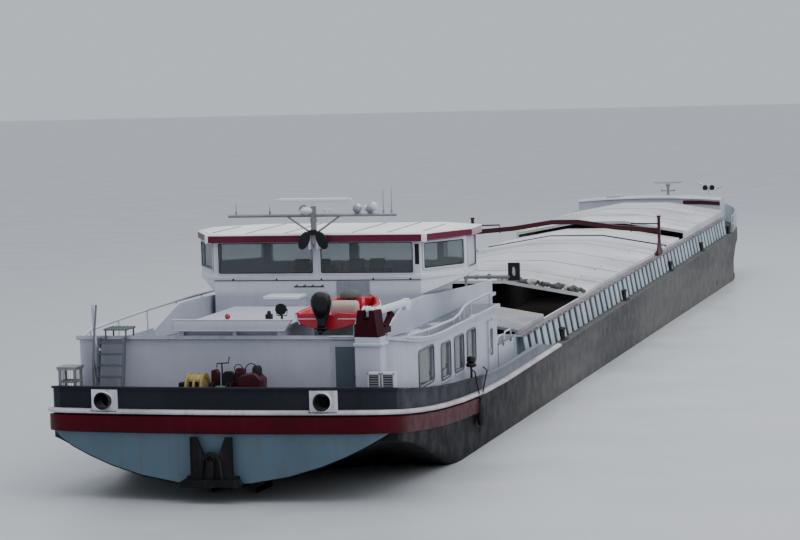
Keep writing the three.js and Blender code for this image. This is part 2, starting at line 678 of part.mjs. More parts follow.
function craneBoom() {
  const beam = box(-0.1, boomLength, -0.07, 0.07, -0.08, 0.08);
  const head = box(boomLength - 0.2, boomLength + 0.05, -0.07, 0.07, -0.2, 0.1);
  const eye = box(1.32, 1.48, -0.035, 0.035, -0.12, 0);
  const pin = bar([0, gap - 0.09, 0], [0, 0.09 - gap, 0], 0.05, 14);
  return fuse(beam, head, eye, pin);
}

// Luffing cylinder along its own axis: barrel from its foot pin, rod up to the boom's eye
const cylinderLength = Math.hypot(cylinderTop[0] - cylinderFoot[0], cylinderTop[2] - cylinderFoot[2]);

function craneBarrel() {
  const tube = bar([0, 0, 0.08], [0, 0, cylinderLength * 0.78], 0.09, 16);
  const eye = box(-0.06, 0.06, gap - 0.12, 0.12 - gap, -0.06, 0.14);
  const bore = bar([0, 0, 0.1], [0, 0, cylinderLength], 0.055, 16);
  return cut(fuse(tube, eye), bore);
}

function craneRod() {
  return bar([0, 0, 0.13], [0, 0, cylinderLength - 0.14], 0.045, 12);
}

// Fittings of the after part
function airUnits() {
  const [x, y, foot] = [1.08, -3.93, 3.84];
  const width = 0.34;
  const pitch = 0.38;
  const units = [0, pitch].map((step) => box(x, x + 0.3, y - step - width, y - step,
    foot + 0.08, foot + 1.1));
  return seat(fuse(...units, box(x + 0.03, x + 0.27, y - pitch - width, y, foot - 0.4, foot + 0.1)));
}

function boardingLadder() {
  const width = 0.72;
  const lean = 0.068;
  const pitch = 0.3;
  const stringerOutline = [[-0.65, -0.3], [-0.47, -0.3], [0, 1.9], [-0.16, 1.9]];
  const stringers = [0, width].map((y) => prism('y', stringerOutline, y - 0.03, y + 0.03));
  const treads = [0, 1, 2, 3, 4, 5].map((i) => box(i * lean - 0.54, i * lean - 0.34, -0.01, width + 0.01,
    0.24 + i * pitch, 0.28 + i * pitch));
  const rail = bentBar([[-0.5, 0.76, 0.3], [-0.55, 0.76, 1.1], [-0.4, 0.76, 1.9], [-0.15, 0.76, 2.8]], 0.03);
  return seat(fuse(...stringers, ...treads, rail).translate(house.x0 - 0.1 - gap, 3.1, 3.85));
}

const dinghyPlace = [2.6, -2.45, 5.86];
const outboardSwivel = { x: -0.12, y: 0.04 };

function dinghy() {
  const section = (half, rise, keel) => [[0, keel], [half * 0.62, keel + 0.1], [half, rise * 0.7],
    [half * 1.02, rise], [half * 0.86, rise], [half * 0.8, rise * 0.7], [half * 0.5, keel + 0.17],
    [0, keel + 0.13]];
  const stations = [[0, 0.88, 0.5, 0.02], [1.1, 0.94, 0.5, 0], [2.2, 0.9, 0.53, 0], [3.1, 0.62, 0.6, 0.06],
    [3.6, 0.25, 0.66, 0.3]];
  const rings = stations.map(([x, half, rise, keel]) => {
    const port = section(half, rise, keel);
    const starboard = port.filter(([y]) => y > 0).reverse().map(([y, z]) => [-y, z]);
    return [...port, ...starboard].map(([y, z]) => [x, y, z]);
  });
  const flat = rings[0].map(([, y, z]) => new THREE.Vector2(y, z));
  const shell = skin(rings, THREE.ShapeUtils.triangulateShape(flat, []));
  const transom = prism('x', [[-0.72, 0.12], [0.72, 0.12], [0.8, 0.48], [-0.8, 0.48]], 0, 0.07);
  const thwart = box(0.7, 0.95, -0.82, 0.82, 0.3, 0.36);
  const console = box(1.35, 1.65, -0.62, 0.1, 0.1, 0.82);
  const bench = box(0.72, 1.1, -0.6, 0.1, 0.3, 0.68);
  const bowPlate = prism('x', [[-0.38, 0.4], [0.38, 0.4], [0.42, 0.6], [-0.42, 0.6]], 3.05, 3.4);
  const { x, y } = outboardSwivel;
  const bracket = [0.3, 0.46].map((z) => box(x - 0.05, 0.03, y - 0.05, y + 0.05, z, z + 0.04));
  return fuse(shell, transom, thwart, console, bench, bowPlate, ...bracket);
}

function dinghyChocks(boat) {
  const [x0, y, keel] = dinghyPlace;
  const chocks = [0.6, 2.4].map((x) => box(x, x + 0.1, -0.55, 0.55, -0.6, 0.12));
  const cradle = fuse(...chocks, box(0.6, 2.5, -0.05, 0.05, -0.12, -0.03)).translate(x0, y, keel);
  return cut(cradle, belowRoof(0.1 + gap), boat.clone().translate(x0, y, keel - gap));
}

// Outboard motor about its swivel, with its cowl high over the transom
function outboard() {
  const profile = [[0, 0.5], [0.12, 0.5], [0.19, 0.6], [0.22, 0.85], [0.2, 1.0], [0.1, 1.1], [0, 1.12]];
  const cowl = turned(profile, 'z', 18).scale(1.0, 1.35, 1).translate(-0.27, 0, 0);
  const leg = prism('y', [[-0.3, 0.02], [-0.1, 0.02], [-0.1, 0.56], [-0.36, 0.56]], -0.06, 0.06);
  const boss = bar([0, 0, 0.34 + gap], [0, 0, 0.46 - gap], 0.045, 12);
  const arm = box(-0.14, 0, -0.03, 0.03, 0.36, 0.44);
  const gearCase = bar([-0.42, 0, 0.03], [-0.1, 0, 0.03], 0.06, 12);
  return fuse(cowl, leg, boss, arm, gearCase);
}

const winchPlace = [1.2, 0.1, 3.9];
const winchShaftZ = 0.5;

function sternWinch() {
  const base = box(-0.3, 0.35, -0.9, 0.95, -0.4, 0.12);
  const plateOutline = [[-0.28, 0.1], [0.3, 0.1], [0.16, 0.75], [-0.14, 0.75]];
  const plates = [-0.85, -0.25, 0.3].map((y) => prism('y', plateOutline, y - 0.04, y + 0.04));
  const gearbox = box(-0.22, 0.25, -0.82, -0.28, 0.1, 0.62);
  const motor = bar([0, 0.6, 0.36], [0, 0.95, 0.36], 0.22, 16);
  const motorFoot = box(-0.15, 0.15, 0.6, 0.92, 0.1, 0.3);
  const drumSpace = bar([0, -0.24, winchShaftZ], [0, 0.29, winchShaftZ], 0.34, 20);
  return seat(cut(fuse(base, ...plates, gearbox, motor, motorFoot), drumSpace).translate(...winchPlace));
}

function winchDrum() {
  const barrel = bar([0, -0.2, 0], [0, 0.25, 0], 0.12, 16);
  const flanges = [[-0.2, -0.16], [0.21, 0.25]].map(([y0, y1]) => bar([0, y0, 0], [0, y1, 0], 0.27, 20));
  return fuse(barrel, ...flanges, bar([0, gap - 0.24, 0], [0, 0.29 - gap, 0], 0.06, 12));
}

// Fore part
const foreDoorY = -2.1;
const foreDoorFoot = 3.2;
const foreHouse = { x0: 77.3, x1: 79.4, half: 3.95, eaves: 4.78, crown: 4.93 };

function foreCabin() {
  const { x0, x1, half, eaves, crown } = foreHouse;
  const arch = (inset) => {
    const line = [];
    for (let i = 0; i <= 8; i += 1) {
      const y = half - inset - ((half - inset) * 2 * i) / 8;
      line.push([y, eaves - inset + (crown - eaves) * (1 - (y / half) ** 2)]);
    }
    return [...line, [-half + inset, 2.9 - inset], [half - inset, 2.9 - inset]].reverse();
  };
  const doorway = box(x1 - 0.5, x1 + 0.5, foreDoorY, foreDoorY + 0.62, foreDoorFoot, foreDoorFoot + 1.45);
  const room = prism('x', arch(0.1).reverse(), x0 + 0.1, x1 - 0.1);
  return seat(cut(prism('x', arch(0).reverse(), x0, x1), room, doorway));
}

function bowBulwark() {
  const port = [79.6, 80.5, 82, 83.2, 84.2, 84.8, 85].map((x) => [x, deckHalf(x)]);
  const line = [...port, [85, 0], ...port.slice().reverse().map(([x, y]) => [x, -y])];
  const placed = line.map(([x, y]) => [x, y, deckZ(x) + gap]);
  const path = placed.map(([x, y, z], i) => {
    const before = placed[Math.max(0, i - 1)];
    const after = placed[Math.min(placed.length - 1, i + 1)];
    const along = new THREE.Vector2(after[0] - before[0], after[1] - before[1]).normalize();
    return [x, y, z, -along.y, along.x];
  });
  return seat(sweep(path, () => [[-0.12, -0.05], [-0.02, -0.05], [-0.02, 0.95], [-0.12, 0.95]]));
}

function foreDoor() {
  const leaf = box(0, 0.72, -0.025, 0.025, -0.04, 1.49);
  const hinges = [0.2, 1.1].map((z) => bar([0, 0, z], [0, 0, z + 0.14], 0.03, 10));
  return fuse(leaf, ...hinges, box(0.58, 0.68, -0.08, -0.02, 0.7, 0.75));
}

const foreMast = { x: 80.4, y: -0.64, hingeZ: 4.0, height: 1.46 };

function mastFoot() {
  const cheeks = [-0.14, 0.14].map((y) => box(-0.14, 0.14, y - 0.03, y + 0.03, 0, 0.95));
  return fuse(...cheeks, box(-0.2, 0.2, -0.22, 0.22, 0, 0.06));
}

function foreMastPost() {
  const post = bar([0, 0, -0.1], [0, 0, foreMast.height], 0.07, 12);
  const pin = bar([0, gap - 0.11, 0], [0, 0.11 - gap, 0], 0.05, 14);
  const crossbar = bar([0, -0.4, 1.1], [0, 0.4, 1.1], 0.035, 8);
  const seatDisc = bar([0, 0, foreMast.height - 0.12], [0, 0, foreMast.height], 0.13, 16);
  return fuse(post, pin, crossbar, seatDisc);
}

function foreScanner() {
  return fuse(bar([0, 0, 0], [0, 0, 0.08], 0.05, 12), box(-0.06, 0.06, -0.8, 0.8, 0.07, 0.18));
}

function windlass() {
  const base = box(-0.5, 0.5, -1.1, 1.1, 0, 0.1);
  const plateOutline = [[-0.35, 0.08], [0.35, 0.08], [0.14, 0.62], [-0.14, 0.62]];
  const plates = [-1.0, -0.3, 0.3, 1.0].map((y) => prism('y', plateOutline, y - 0.05, y + 0.05));
  const shaftZ = 0.42;
  const round = (y, half, radius) => bar([0, y - half, shaftZ], [0, y + half, shaftZ], radius, 18);
  const drums = [-0.65, 0.65].map((y) => round(y, 0.22, 0.24));
  const heads = [-1.2, 1.2].map((y) => round(y, 0.1, 0.15));
  return fuse(base, ...plates, round(0, 1.25, 0.08), ...drums, ...heads,
    box(-0.25, 0.25, -0.25, 0.25, 0.08, 0.5));
}

const signalPlace = [16.3, -3.2, roofZ + 0.1 + gap];
const signalPostHeight = 0.7;

function signalPost() {
  return fuse(bar([0, 0, 0], [0, 0, signalPostHeight], 0.05, 10), bar([0, 0, 0], [0, 0, 0.04], 0.12, 12));
}

// Arm on the post's head, with its bar level and a board at the outer end
function signalArm() {
  return fuse(bar([0, 0, 0], [0, 0, 0.16], 0.08, 12), bar([0, 0.06, 0.07], [0, -1.44, 0.07], 0.06, 12),
    box(-0.03, 0.03, -1.74, -1.4, -0.03, 0.5));
}

// Lattice locker on the aft deck's port corner
function sternLocker() {
  const side = 0.5;
  const height = 1.2;
  const far = side - 0.06;
  const corners = [[0, 0], [far, 0], [0, far], [far, far]];
  const posts = corners.map(([x, y]) => box(x, x + 0.06, y, y + 0.06, -0.4, height + 0.02));
  const rails = [0.15, 0.5, 0.85].flatMap((z) => [
    box(0, 0.05, 0, side, z, z + 0.05),
    box(side - 0.05, side, 0, side, z, z + 0.05),
    box(0, side, 0, 0.05, z, z + 0.05),
    box(0, side, side - 0.05, side, z, z + 0.05),
  ]);
  const lid = box(-0.03, side + 0.03, -0.03, side + 0.03, height, height + 0.07);
  return seat(fuse(...posts, ...rails, lid).translate(0.95, 4.13, 3.8));
}

const ship = new THREE.Group();
ship.scale.setScalar(millimetresPerMetre);
ship.position.x = ((anchorReach - hullLength) / 2) * millimetresPerMetre;

const finishes = {
  hullBlack: [0x17181c, 0.6, 0.1],
  white: [0xd9dbe3, 0.5, 0.05],
  red: [0x5a0f1c, 0.5, 0.05],
  steel: [0x767b80, 0.5, 0.6],
  blue: [0x8fa7b3, 0.5, 0.1],
  cover: [0xb9bbbf, 0.6, 0.3],
  gray: [0x5d6a75, 0.6, 0.1],
  yellow: [0xb8962c, 0.6, 0.1],
  brass: [0x8c7a4a, 0.4, 0.7],
  rubber: [0x15161a, 0.8, 0.0],
};

function add(name, geometry, finish, place = [0, 0, 0], turn = [0, 0, 0]) {
  const [color, roughness, metalness] = finishes[finish];
  const mesh = new THREE.Mesh(geometry, new THREE.MeshStandardMaterial({ color, roughness, metalness }));
  mesh.name = name;
  mesh.position.set(...place);
  mesh.rotation.set(...turn);
  ship.add(mesh);
  return mesh;
}

const hullGeometry = hull();
const hullEnds = [-1, ...hullJoints, hullLength + 1];
['hull_aft', 'hull_mid', 'hull_fore'].forEach((name, i) => {
  add(name, hullSection(hullGeometry, hullEnds[i] + gap, hullEnds[i + 1]), 'hullBlack');
});
add('rub_rail', rubRail(), 'white');
add('aft_bulwark', aftBulwark(), 'hullBlack');
for (const [name, y] of fairleads) {
  const tangent = (-y * 2 * transomCrown) / halfBeam ** 2;
  add(name, fairlead(), 'white', [crowned(0, y) - 0.008, y, fairleadZ], [0, 0, tangent]);
}
add('stern_anchor', sternAnchor(), 'hullBlack');
add('propeller', propeller(), 'brass', [propX, 0, propZ]);
add('propeller_nozzle', nozzle(hullGeometry), 'hullBlack');
add('rudder_port', rudder(), 'hullBlack', [rudderX, rudderY, 0]);
add('rudder_starboard', rudder(), 'hullBlack', [rudderX, -rudderY, 0]);
add('engine_block', engineBlock(), 'gray');
add('hatch_coaming', hatchCoaming(), 'blue');
const coverStarts = [holdAft, 31.5, 36.05, 40.6, 45.15, 49.7, 54.25, 60.85, 65.9, 70.95];
coverStarts.forEach((x, i) => add(`hatch_cover_${i + 1}`, hatchCover(x > stackedFrom), 'cover', [x, 0, 0]));
add('cover_gantry', coverGantry(), 'red', [gantryX, 0, 0]);
add('deckhouse', deckhouse(), 'white');
add('deckhouse_roof', deckhouseRoof(), 'white');
add('aft_door', hingedDoor(), 'gray', [house.x0 - doorStandoff, aftDoorY + doorWidth / 2 + 0.05, aftDoorFoot],
  [0, 0, -Math.PI / 2]);
add('side_door', slidingDoor(), 'gray',
  [sideDoorX - 0.05, -houseSides.starboard.half - doorStandoff, sideDoorFoot]);
add('roof_rail_port', roofRail(1), 'white');
add('roof_rail_starboard', roofRail(-1), 'white');
add('roof_platform', roofPlatform(), 'white');
add('crane_pedestal', cranePedestal(), 'white');
const craneTop = [crane.x, crane.y, crane.foot];
const craneHeading = new THREE.Group();
craneHeading.position.set(...craneTop);
craneHeading.rotation.z = crane.heading;
ship.add(craneHeading);
craneHeading.add(add('crane_base', craneBase(), 'red'));
craneHeading.add(add('crane_boom', craneBoom(), 'white', boomPivot, [0, -boomRise, 0]));
const cylinderLean = Math.atan2(cylinderTop[0] - cylinderFoot[0], cylinderTop[2] - cylinderFoot[2]);
craneHeading.add(add('crane_barrel', craneBarrel(), 'red', cylinderFoot, [0, cylinderLean, 0]));
craneHeading.add(add('crane_rod', craneRod(), 'steel', cylinderFoot, [0, cylinderLean, 0]));
add('air_units', airUnits(), 'white');
add('boarding_ladder', boardingLadder(), 'gray');
const boat = dinghy();
add('dinghy', boat, 'red', dinghyPlace);
add('dinghy_chocks', dinghyChocks(boat), 'steel');
add('outboard', outboard(), 'rubber',
  [dinghyPlace[0] + outboardSwivel.x, dinghyPlace[1] + outboardSwivel.y, dinghyPlace[2]]);
add('stern_winch', sternWinch(), 'red');
add('winch_drum', winchDrum(), 'steel', [winchPlace[0], winchPlace[1], winchPlace[2] + winchShaftZ]);
add('wheelhouse', wheelhouse(), 'white');
add('wheelhouse_roof', wheelhouseRoof(), 'white');
add('helm_console', helmConsole(), 'gray');
add('helm_chair', helmChair(), 'rubber');
add('radar_mast', radarMast(), 'steel', [mastHingeX, mastY, mastHingeZ]);
add('radar_scanner', radarScanner(), 'white', [mastHingeX, mastY, mastHingeZ + 1.05 + gap]);
add('fore_cabin', foreCabin(), 'white');
add('fore_door', foreDoor(), 'gray', [foreHouse.x1 + doorStandoff, foreDoorY - 0.05, foreDoorFoot],
  [0, 0, Math.PI / 2]);
add('bow_bulwark', bowBulwark(), 'blue');
add('mast_foot', mastFoot(), 'steel', [foreMast.x, foreMast.y, deckLine(foreMast.x + 0.2) + gap]);
add('fore_mast', foreMastPost(), 'steel', [foreMast.x, foreMast.y, foreMast.hingeZ]);
add('fore_scanner', foreScanner(), 'white',
  [foreMast.x, foreMast.y, foreMast.hingeZ + foreMast.height + gap]);
add('windlass', windlass(), 'gray', [82.6, 0, deckLine(83.1) + gap]);
add('signal_post', signalPost(), 'steel', signalPlace);
add('signal_arm', signalArm(), 'steel',
  [signalPlace[0], signalPlace[1], signalPlace[2] + signalPostHeight + gap]);
add('stern_locker', sternLocker(), 'steel');

export default ship;
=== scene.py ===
import random
from math import atan2, copysign, cos, degrees, hypot, pi, radians, sin, sqrt

import bmesh
import bpy
from mathutils import Matrix, Vector


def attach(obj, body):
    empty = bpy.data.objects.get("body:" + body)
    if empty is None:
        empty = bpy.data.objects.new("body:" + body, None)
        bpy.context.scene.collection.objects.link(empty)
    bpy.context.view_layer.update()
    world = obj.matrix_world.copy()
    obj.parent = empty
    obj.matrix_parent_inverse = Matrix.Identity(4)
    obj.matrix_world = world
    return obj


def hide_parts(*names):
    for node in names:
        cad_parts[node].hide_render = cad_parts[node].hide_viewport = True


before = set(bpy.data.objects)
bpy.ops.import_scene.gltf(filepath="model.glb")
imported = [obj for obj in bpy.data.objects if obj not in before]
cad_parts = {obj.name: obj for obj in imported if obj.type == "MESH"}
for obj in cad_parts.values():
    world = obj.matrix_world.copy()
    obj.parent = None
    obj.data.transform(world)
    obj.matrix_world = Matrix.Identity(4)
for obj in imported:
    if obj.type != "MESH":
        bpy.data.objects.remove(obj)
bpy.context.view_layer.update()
midship = 42.325


# Everything is measured on the ship, in its own metres, x from the transom. The model is a tenth of it.
def at(x, y, z):
    return Vector((x - midship, y, z)) / 10


def link(name, data):
    thing = bpy.data.objects.new(name, data)
    bpy.context.collection.objects.link(thing)
    return thing


# Camera, floor and light
camera = {"focal": 113.76, "sensor": 36, "reach": 200, "place": (-62.163, -20.867, 13.166),
          "yaw": 14.1843, "pitch": -4.8539, "roll": -1.6}
studio = {"floorColor": (0.56, 0.58, 0.6), "floorReach": 1500, "hold": (19.2, 76.2, 4.4),
          "waterlineAft": 1.65, "waterlineSlope": -0.0165, "sky": (0.82, 0.88, 0.97), "skyPower": 0.72,
          "keyPower": 420, "keySize": (14, 8), "keyPlace": (0.5, -2.5, 5.5), "keyTilt": (-22, -4),
          "sunPower": 0.7, "sunSpread": 50, "sunFrom": (-0.25, -0.75, 0.62)}


def makeCamera(c):
    lens = bpy.data.cameras.new("camera")
    lens.lens, lens.sensor_width, lens.clip_end = c["focal"], c["sensor"], c["reach"]
    yaw, pitch, roll = (radians(c[k]) for k in ("yaw", "pitch", "roll"))
    ahead = Vector((cos(pitch) * cos(yaw), cos(pitch) * sin(yaw), sin(pitch)))
    level = ahead.cross(Vector((0, 0, 1))).normalized()
    upright = level.cross(ahead)
    right = level * cos(roll) + upright * sin(roll)
    up = upright * cos(roll) - level * sin(roll)
    eye = link("camera", lens)
    turned = Matrix((right, up, -ahead)).transposed().to_4x4()
    eye.matrix_world = Matrix.Translation(at(*c["place"])) @ turned
    bpy.context.scene.camera = eye


makeCamera(camera)


# Short ways to wire a material
class Look:
    def __init__(self, name):
        self.mat = bpy.data.materials.new(name)
        self.mat.use_nodes = True
        self.nodes = self.mat.node_tree.nodes
        self.links = self.mat.node_tree.links
        self.shader = self.nodes["Principled BSDF"]
        self.place = self.nodes.new("ShaderNodeTexCoord").outputs["Object"]
        self.cuts = None

    def put(self, socket, value):
        if isinstance(value, bpy.types.NodeSocket):
            self.links.new(value, socket)
        else:
            socket.default_value = (*value, 1) if socket.type == "RGBA" else value

    def set(self, values):
        for name, value in values.items():
            self.put(self.shader.inputs[name], value)

    def add(self, kind, **values):
        node = self.nodes.new("ShaderNode" + kind)
        for name, value in values.items():
            self.put(node.inputs[name], value)
        return node

    # fills the first inputs in their order
    def feed(self, node, *values):
        for socket, value in zip(node.inputs, values):
            self.put(socket, value)
        return node.outputs[0]

    def noise(self, scale, detail=4, stretch=(1, 1, 1)):
        spot = self.add("Mapping", Vector=self.place, Scale=stretch).outputs[0]
        return self.add("TexNoise", Vector=spot, Scale=scale, Detail=detail, Roughness=0.55).outputs[0]

    def fit(self, value, low, high, to=(0, 1), smooth=True):
        node = self.add("MapRange")
        node.interpolation_type = "SMOOTHSTEP" if smooth else "LINEAR"
        return self.feed(node, value, low, high, *to)

    def math(self, kind, a, b=0.0):
        node = self.add("Math")
        node.operation = kind
        return self.feed(node, a, b)

    def times(self, a, b):
        return self.math("MULTIPLY", a, b)

    # how far an axis is from a value, to either side
    def away(self, letter, value=0.0):
        return self.math("ABSOLUTE", self.math("SUBTRACT", self.axis(letter), value))

    def mix(self, share, a, b):
        node = self.add("Mix")
        node.data_type = "RGBA"
        for i, value in ((0, share), (6, a), (7, b)):
            self.put(node.inputs[i], value)
        return node.outputs[2]

    def axis(self, letter):
        self.cuts = self.cuts or self.add("SeparateXYZ", Vector=self.place)
        return self.cuts.outputs[letter]

    def normal(self, letter):
        return self.add("SeparateXYZ", Vector=self.add("NewGeometry").outputs["Normal"]).outputs[letter]

    def bump(self, height, strength):
        relief = self.add("Bump", Strength=strength, Distance=0.004, Height=height)
        self.set({"Normal": relief.outputs[0]})

    def color(self, value):
        self.set({"Base Color": value})
        return self.mat


# Weathered paint: a colour that wanders towards a second one, upright streaks, rust spots, dents and grain
def paint(name, color, worn, rough=(0.4, 0.6), streaks=0.3, spots=0.0, shine=0.5, dents=0.15, dentScale=9,
          streak=(0.09, 0.07, 0.05), patch=6, metal=0.0, more=None):
    k = Look(name)
    tone = k.mix(k.fit(k.noise(patch, 5), 0.38, 0.66), color, worn)
    tone = more(k, tone) if more else tone
    if streaks:
        tone = k.mix(k.fit(k.noise(7, 5, (9, 9, 0.8)), 0.5, 0.78, (0, streaks)), tone, streak)
    if spots:
        dot = k.fit(k.noise(70, 3), 0.62, 0.72)
        where = k.fit(k.noise(5, 3), 0.45, 0.7, (0, spots))
        tone = k.mix(k.times(dot, where), tone, (0.12, 0.05, 0.03))
    k.set({"Roughness": k.fit(k.noise(22), 0.3, 0.7, rough), "Metallic": metal, "Specular IOR Level": shine})
    k.bump(k.math("ADD", k.noise(dentScale, 3), k.times(k.noise(260, 3), 0.08)), dents)
    return k.color(tone)


def floorLook(color):
    k = Look("studio_floor")
    k.set({"Roughness": k.fit(k.noise(3, 3), 0.3, 0.7, (0.3, 0.42))})
    return k.color(k.mix(k.noise(0.6, 2), color, tuple(c * 0.96 for c in color)))


def makeStudio(s):
    reach, (x0, x1, half) = s["floorReach"], s["hold"]
    # open inside the hull, because the floor of the hold lies under the waterline
    corners = [(-reach, -reach), (reach, -reach), (reach, reach), (-reach, reach)]
    corners += [(x0, -half), (x1, -half), (x1, half), (x0, half)]
    sides = [(i, (i + 1) % 4, 4 + (i + 1) % 4, 4 + i) for i in range(4)]
    mesh = bpy.data.meshes.new("floor")
    mesh.from_pydata([at(x, y, s["waterlineAft"] + s["waterlineSlope"] * x) for x, y in corners], [], sides)
    mesh.materials.append(floorLook(s["floorColor"]))
    floor = link("floor", mesh)

    world = bpy.data.worlds.new("studio")
    world.use_nodes = True
    sky = world.node_tree.nodes["Background"]
    sky.inputs[0].default_value, sky.inputs[1].default_value = (*s["sky"], 1), s["skyPower"]
    bpy.context.scene.world = world

    key = bpy.data.lights.new("overhead", "AREA")
    key.shape, key.energy = "RECTANGLE", s["keyPower"]
    key.size, key.size_y = s["keySize"]
    lamp = link("overhead", key)
    lamp.location = s["keyPlace"]
    lamp.rotation_euler = (*(radians(a) for a in s["keyTilt"]), 0)
    sun = bpy.data.lights.new("softbox", "SUN")
    sun.energy, sun.angle = s["sunPower"], radians(s["sunSpread"])
    lamp = link("softbox", sun)
    lamp.rotation_euler = Vector(s["sunFrom"]).to_track_quat("Z", "Y").to_euler()


makeStudio(studio)
print("camera and studio ready")


# A circle as (cosine, sine) pairs, and the point that turns about an axis through centre
def circle(sides):
    return [(cos(2 * pi * j / sides), sin(2 * pi * j / sides)) for j in range(sides)]


def spun(centre, axis, radius, h, c, s):
    u, v = radius * c, radius * s
    offset = {"x": (h, u, v), "y": (v, h, u), "z": (u, v, h)}[axis]
    return tuple(a + b for a, b in zip(centre, offset))


# A mesh collected from simple solids and swept shapes in ship metres, each at an optional place of its own
class Shape:
    def __init__(self, place=None):
        self.mesh = bmesh.new()
        self.spot = place or Matrix.Identity(4)

    def put(self, points, faces):
        verts = [self.mesh.verts.new(at(*(self.spot @ Vector(p)))) for p in points]
        for face in faces:
            self.mesh.faces.new([verts[i] for i in face])
        return self

    def box(self, x0, x1, y0, y1, z0, z1):
        points = [(x, y, z) for x in (x0, x1) for y in (y0, y1) for z in (z0, z1)]
        faces = [(0, 1, 3, 2), (4, 6, 7, 5), (0, 4, 5, 1), (2, 3, 7, 6), (0, 2, 6, 4), (1, 5, 7, 3)]
        return self.put(points, faces)

    # a flat outline of [y, z], [x, z] or [x, y] pushed from a to b along the axis that is left
    def slab(self, axis, outline, a, b):
        i = "xyz".index(axis)
        return self.rings([[(*p[:i], w, *p[i:]) for p in outline] for w in (a, b)])

    # rings of points joined one to the next
    def rings(self, rings, closed=False):
        n, count = len(rings[0]), len(rings)
        faces = []
        for r in range(count if closed else count - 1):
            a, b = r * n, ((r + 1) % count) * n
            faces += [(a + i, a + (i + 1) % n, b + (i + 1) % n, b + i) for i in range(n)]
        if not closed:
            faces += [tuple(range(n))[::-1], tuple(range((count - 1) * n, count * n))]
        return self.put([p for ring in rings for p in ring], faces)

    # a section of [x, rise] carried across the ship on a line of [y, z]
    def strip(self, line, section):
        return self.rings([[(x, y, z + rise) for x, rise in section] for y, z in line])

    # a straight round bar, thinner or thicker at its end
    def rod(self, a, b, radius, end=None, sides=12):
        return self.tube([a, b], [radius, end or radius], sides)

    # a round bar through points, with one radius or one for each point
    def tube(self, points, radius, sides=8, closed=False):
        path = [Vector(p) for p in points]
        count = len(path)
        radii = radius if isinstance(radius, list) else [radius] * count
        rings, across = [], None
        for i, p in enumerate(path):
            before = path[(i - 1) % count] if closed or i else p
            after = path[(i + 1) % count] if closed or i < count - 1 else p
            along = (after - before).normalized()
            across = across or along.orthogonal().normalized()
            across = (across - along * across.dot(along)).normalized()
            other = along.cross(across)
            rings.append([tuple(p + (across * c + other * s) * radii[i]) for c, s in circle(sides)])
        return self.rings(rings, closed)

    # a profile of [radius, height] turned about an axis through centre
    def turned(self, centre, profile, axis="z", sides=24):
        return self.rings([[spun(centre, axis, max(r, 0.0005), h, c, s) for c, s in circle(sides)]
                           for r, h in profile])

    # a closed profile of [radius, height] turned all the way round
    def hoop(self, centre, profile, axis="z", sides=24):
        rings = [[spun(centre, axis, r, h, c, s) for r, h in profile] for c, s in circle(sides)]
        return self.rings(rings, True)

    # a square-edged ring between two radii
    def band(self, centre, inner, outer, half, axis="z", sides=20):
        return self.hoop(centre, [(inner, -half), (outer, -half), (outer, half), (inner, half)], axis, sides)

    # a rim round an opening: two outlines of [x, z] with as many points, from y0 to y1
    def rim(self, outer, inner, y0, y1):
        return self.rings([[(a, y0, b), (a, y1, b), (c, y1, d), (c, y0, d)]
                           for (a, b), (c, d) in zip(outer, inner)], True)

    def ball(self, centre, radius, high=1.0, sides=16):
        steps = [pi * (i / 8 - 0.5) for i in range(9)]
        return self.turned(centre, [(radius * cos(t), radius * high * sin(t)) for t in steps], "z", sides)

    # a flat profile of [outward, up] carried along a path of (x, y, z, outwardX, outwardY)
    def sweep(self, path, profile):
        return self.rings([[(x + nx * u, y + ny * u, z + v) for u, v in profile] for x, y, z, nx, ny in path])

    def make(self, name, look, slot, body="ship", bevel=0.0, angle=38):
        m = self.mesh
        bmesh.ops.recalc_face_normals(m, faces=m.faces)
        if bevel:
            sharp = [e for e in m.edges if len(e.link_faces) == 2 and e.calc_face_angle() > radians(30)]
            bmesh.ops.bevel(m, geom=sharp, offset=bevel / 10, segments=1, affect="EDGES", clamp_overlap=True)
        for face in m.faces:
            face.smooth = True
        for edge in m.edges:
            if len(edge.link_faces) == 2:
                edge.smooth = edge.calc_face_angle() < radians(angle)
        data = bpy.data.meshes.new(name)
        m.to_mesh(data)
        m.free()
        data.materials.append(colors[look])
        piece = link(name, data)
        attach(piece, body)
        return piece


def shapes(count, place=None):
    return [Shape(place) for _ in range(count)]


# A rectangle with round corners, as [x, z] points
def roundRect(width, height, radius, steps=4):
    points = []
    for cx, cz, start in ((1, 1, 0), (-1, 1, 90), (-1, -1, 180), (1, -1, 270)):
        for i in range(steps + 1):
            t = radians(start + 90 * i / steps)
            x, z = radius * cos(t), radius * sin(t)
            points.append((cx * (width / 2 - radius) + x, cz * (height / 2 - radius) + z))
    return points


def dress(node, material):
    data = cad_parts[node].data
    data.materials.clear()
    data.materials.append(material)


# Hull lines, the same as the solids' own
hull = {"length": 85, "halfBeam": 4.8, "sideDepth": 2.95, "sheerEnd": 14, "sternSheer": 0.98,
        "bowSheerStart": 74, "bowSheer": 0.45, "belt": 0.46, "beltProud": 0.1, "beltEnd": 10.3,
        "arcRadius": 8.67, "arcBottom": 2.08, "crown": 0.3, "transomHalf": 4.0, "corner": 0.9, "bowStart": 76}
sternStations = [20.3, 20, 14, 11, 8, 6, 4.5, 3, 2, 1, 0.6, 0.3, 0.1, 0]
transomShares = [0, 0.25, 0.5, 0.72, 0.88, 1]


def deckZ(x):
    aft = max(0, (hull["sheerEnd"] - x) / hull["sheerEnd"])
    fore = max(0, (x - hull["bowSheerStart"]) / (hull["length"] - hull["bowSheerStart"]))
    return hull["sideDepth"] + hull["sternSheer"] * aft ** 1.8 + hull["bowSheer"] * fore ** 2


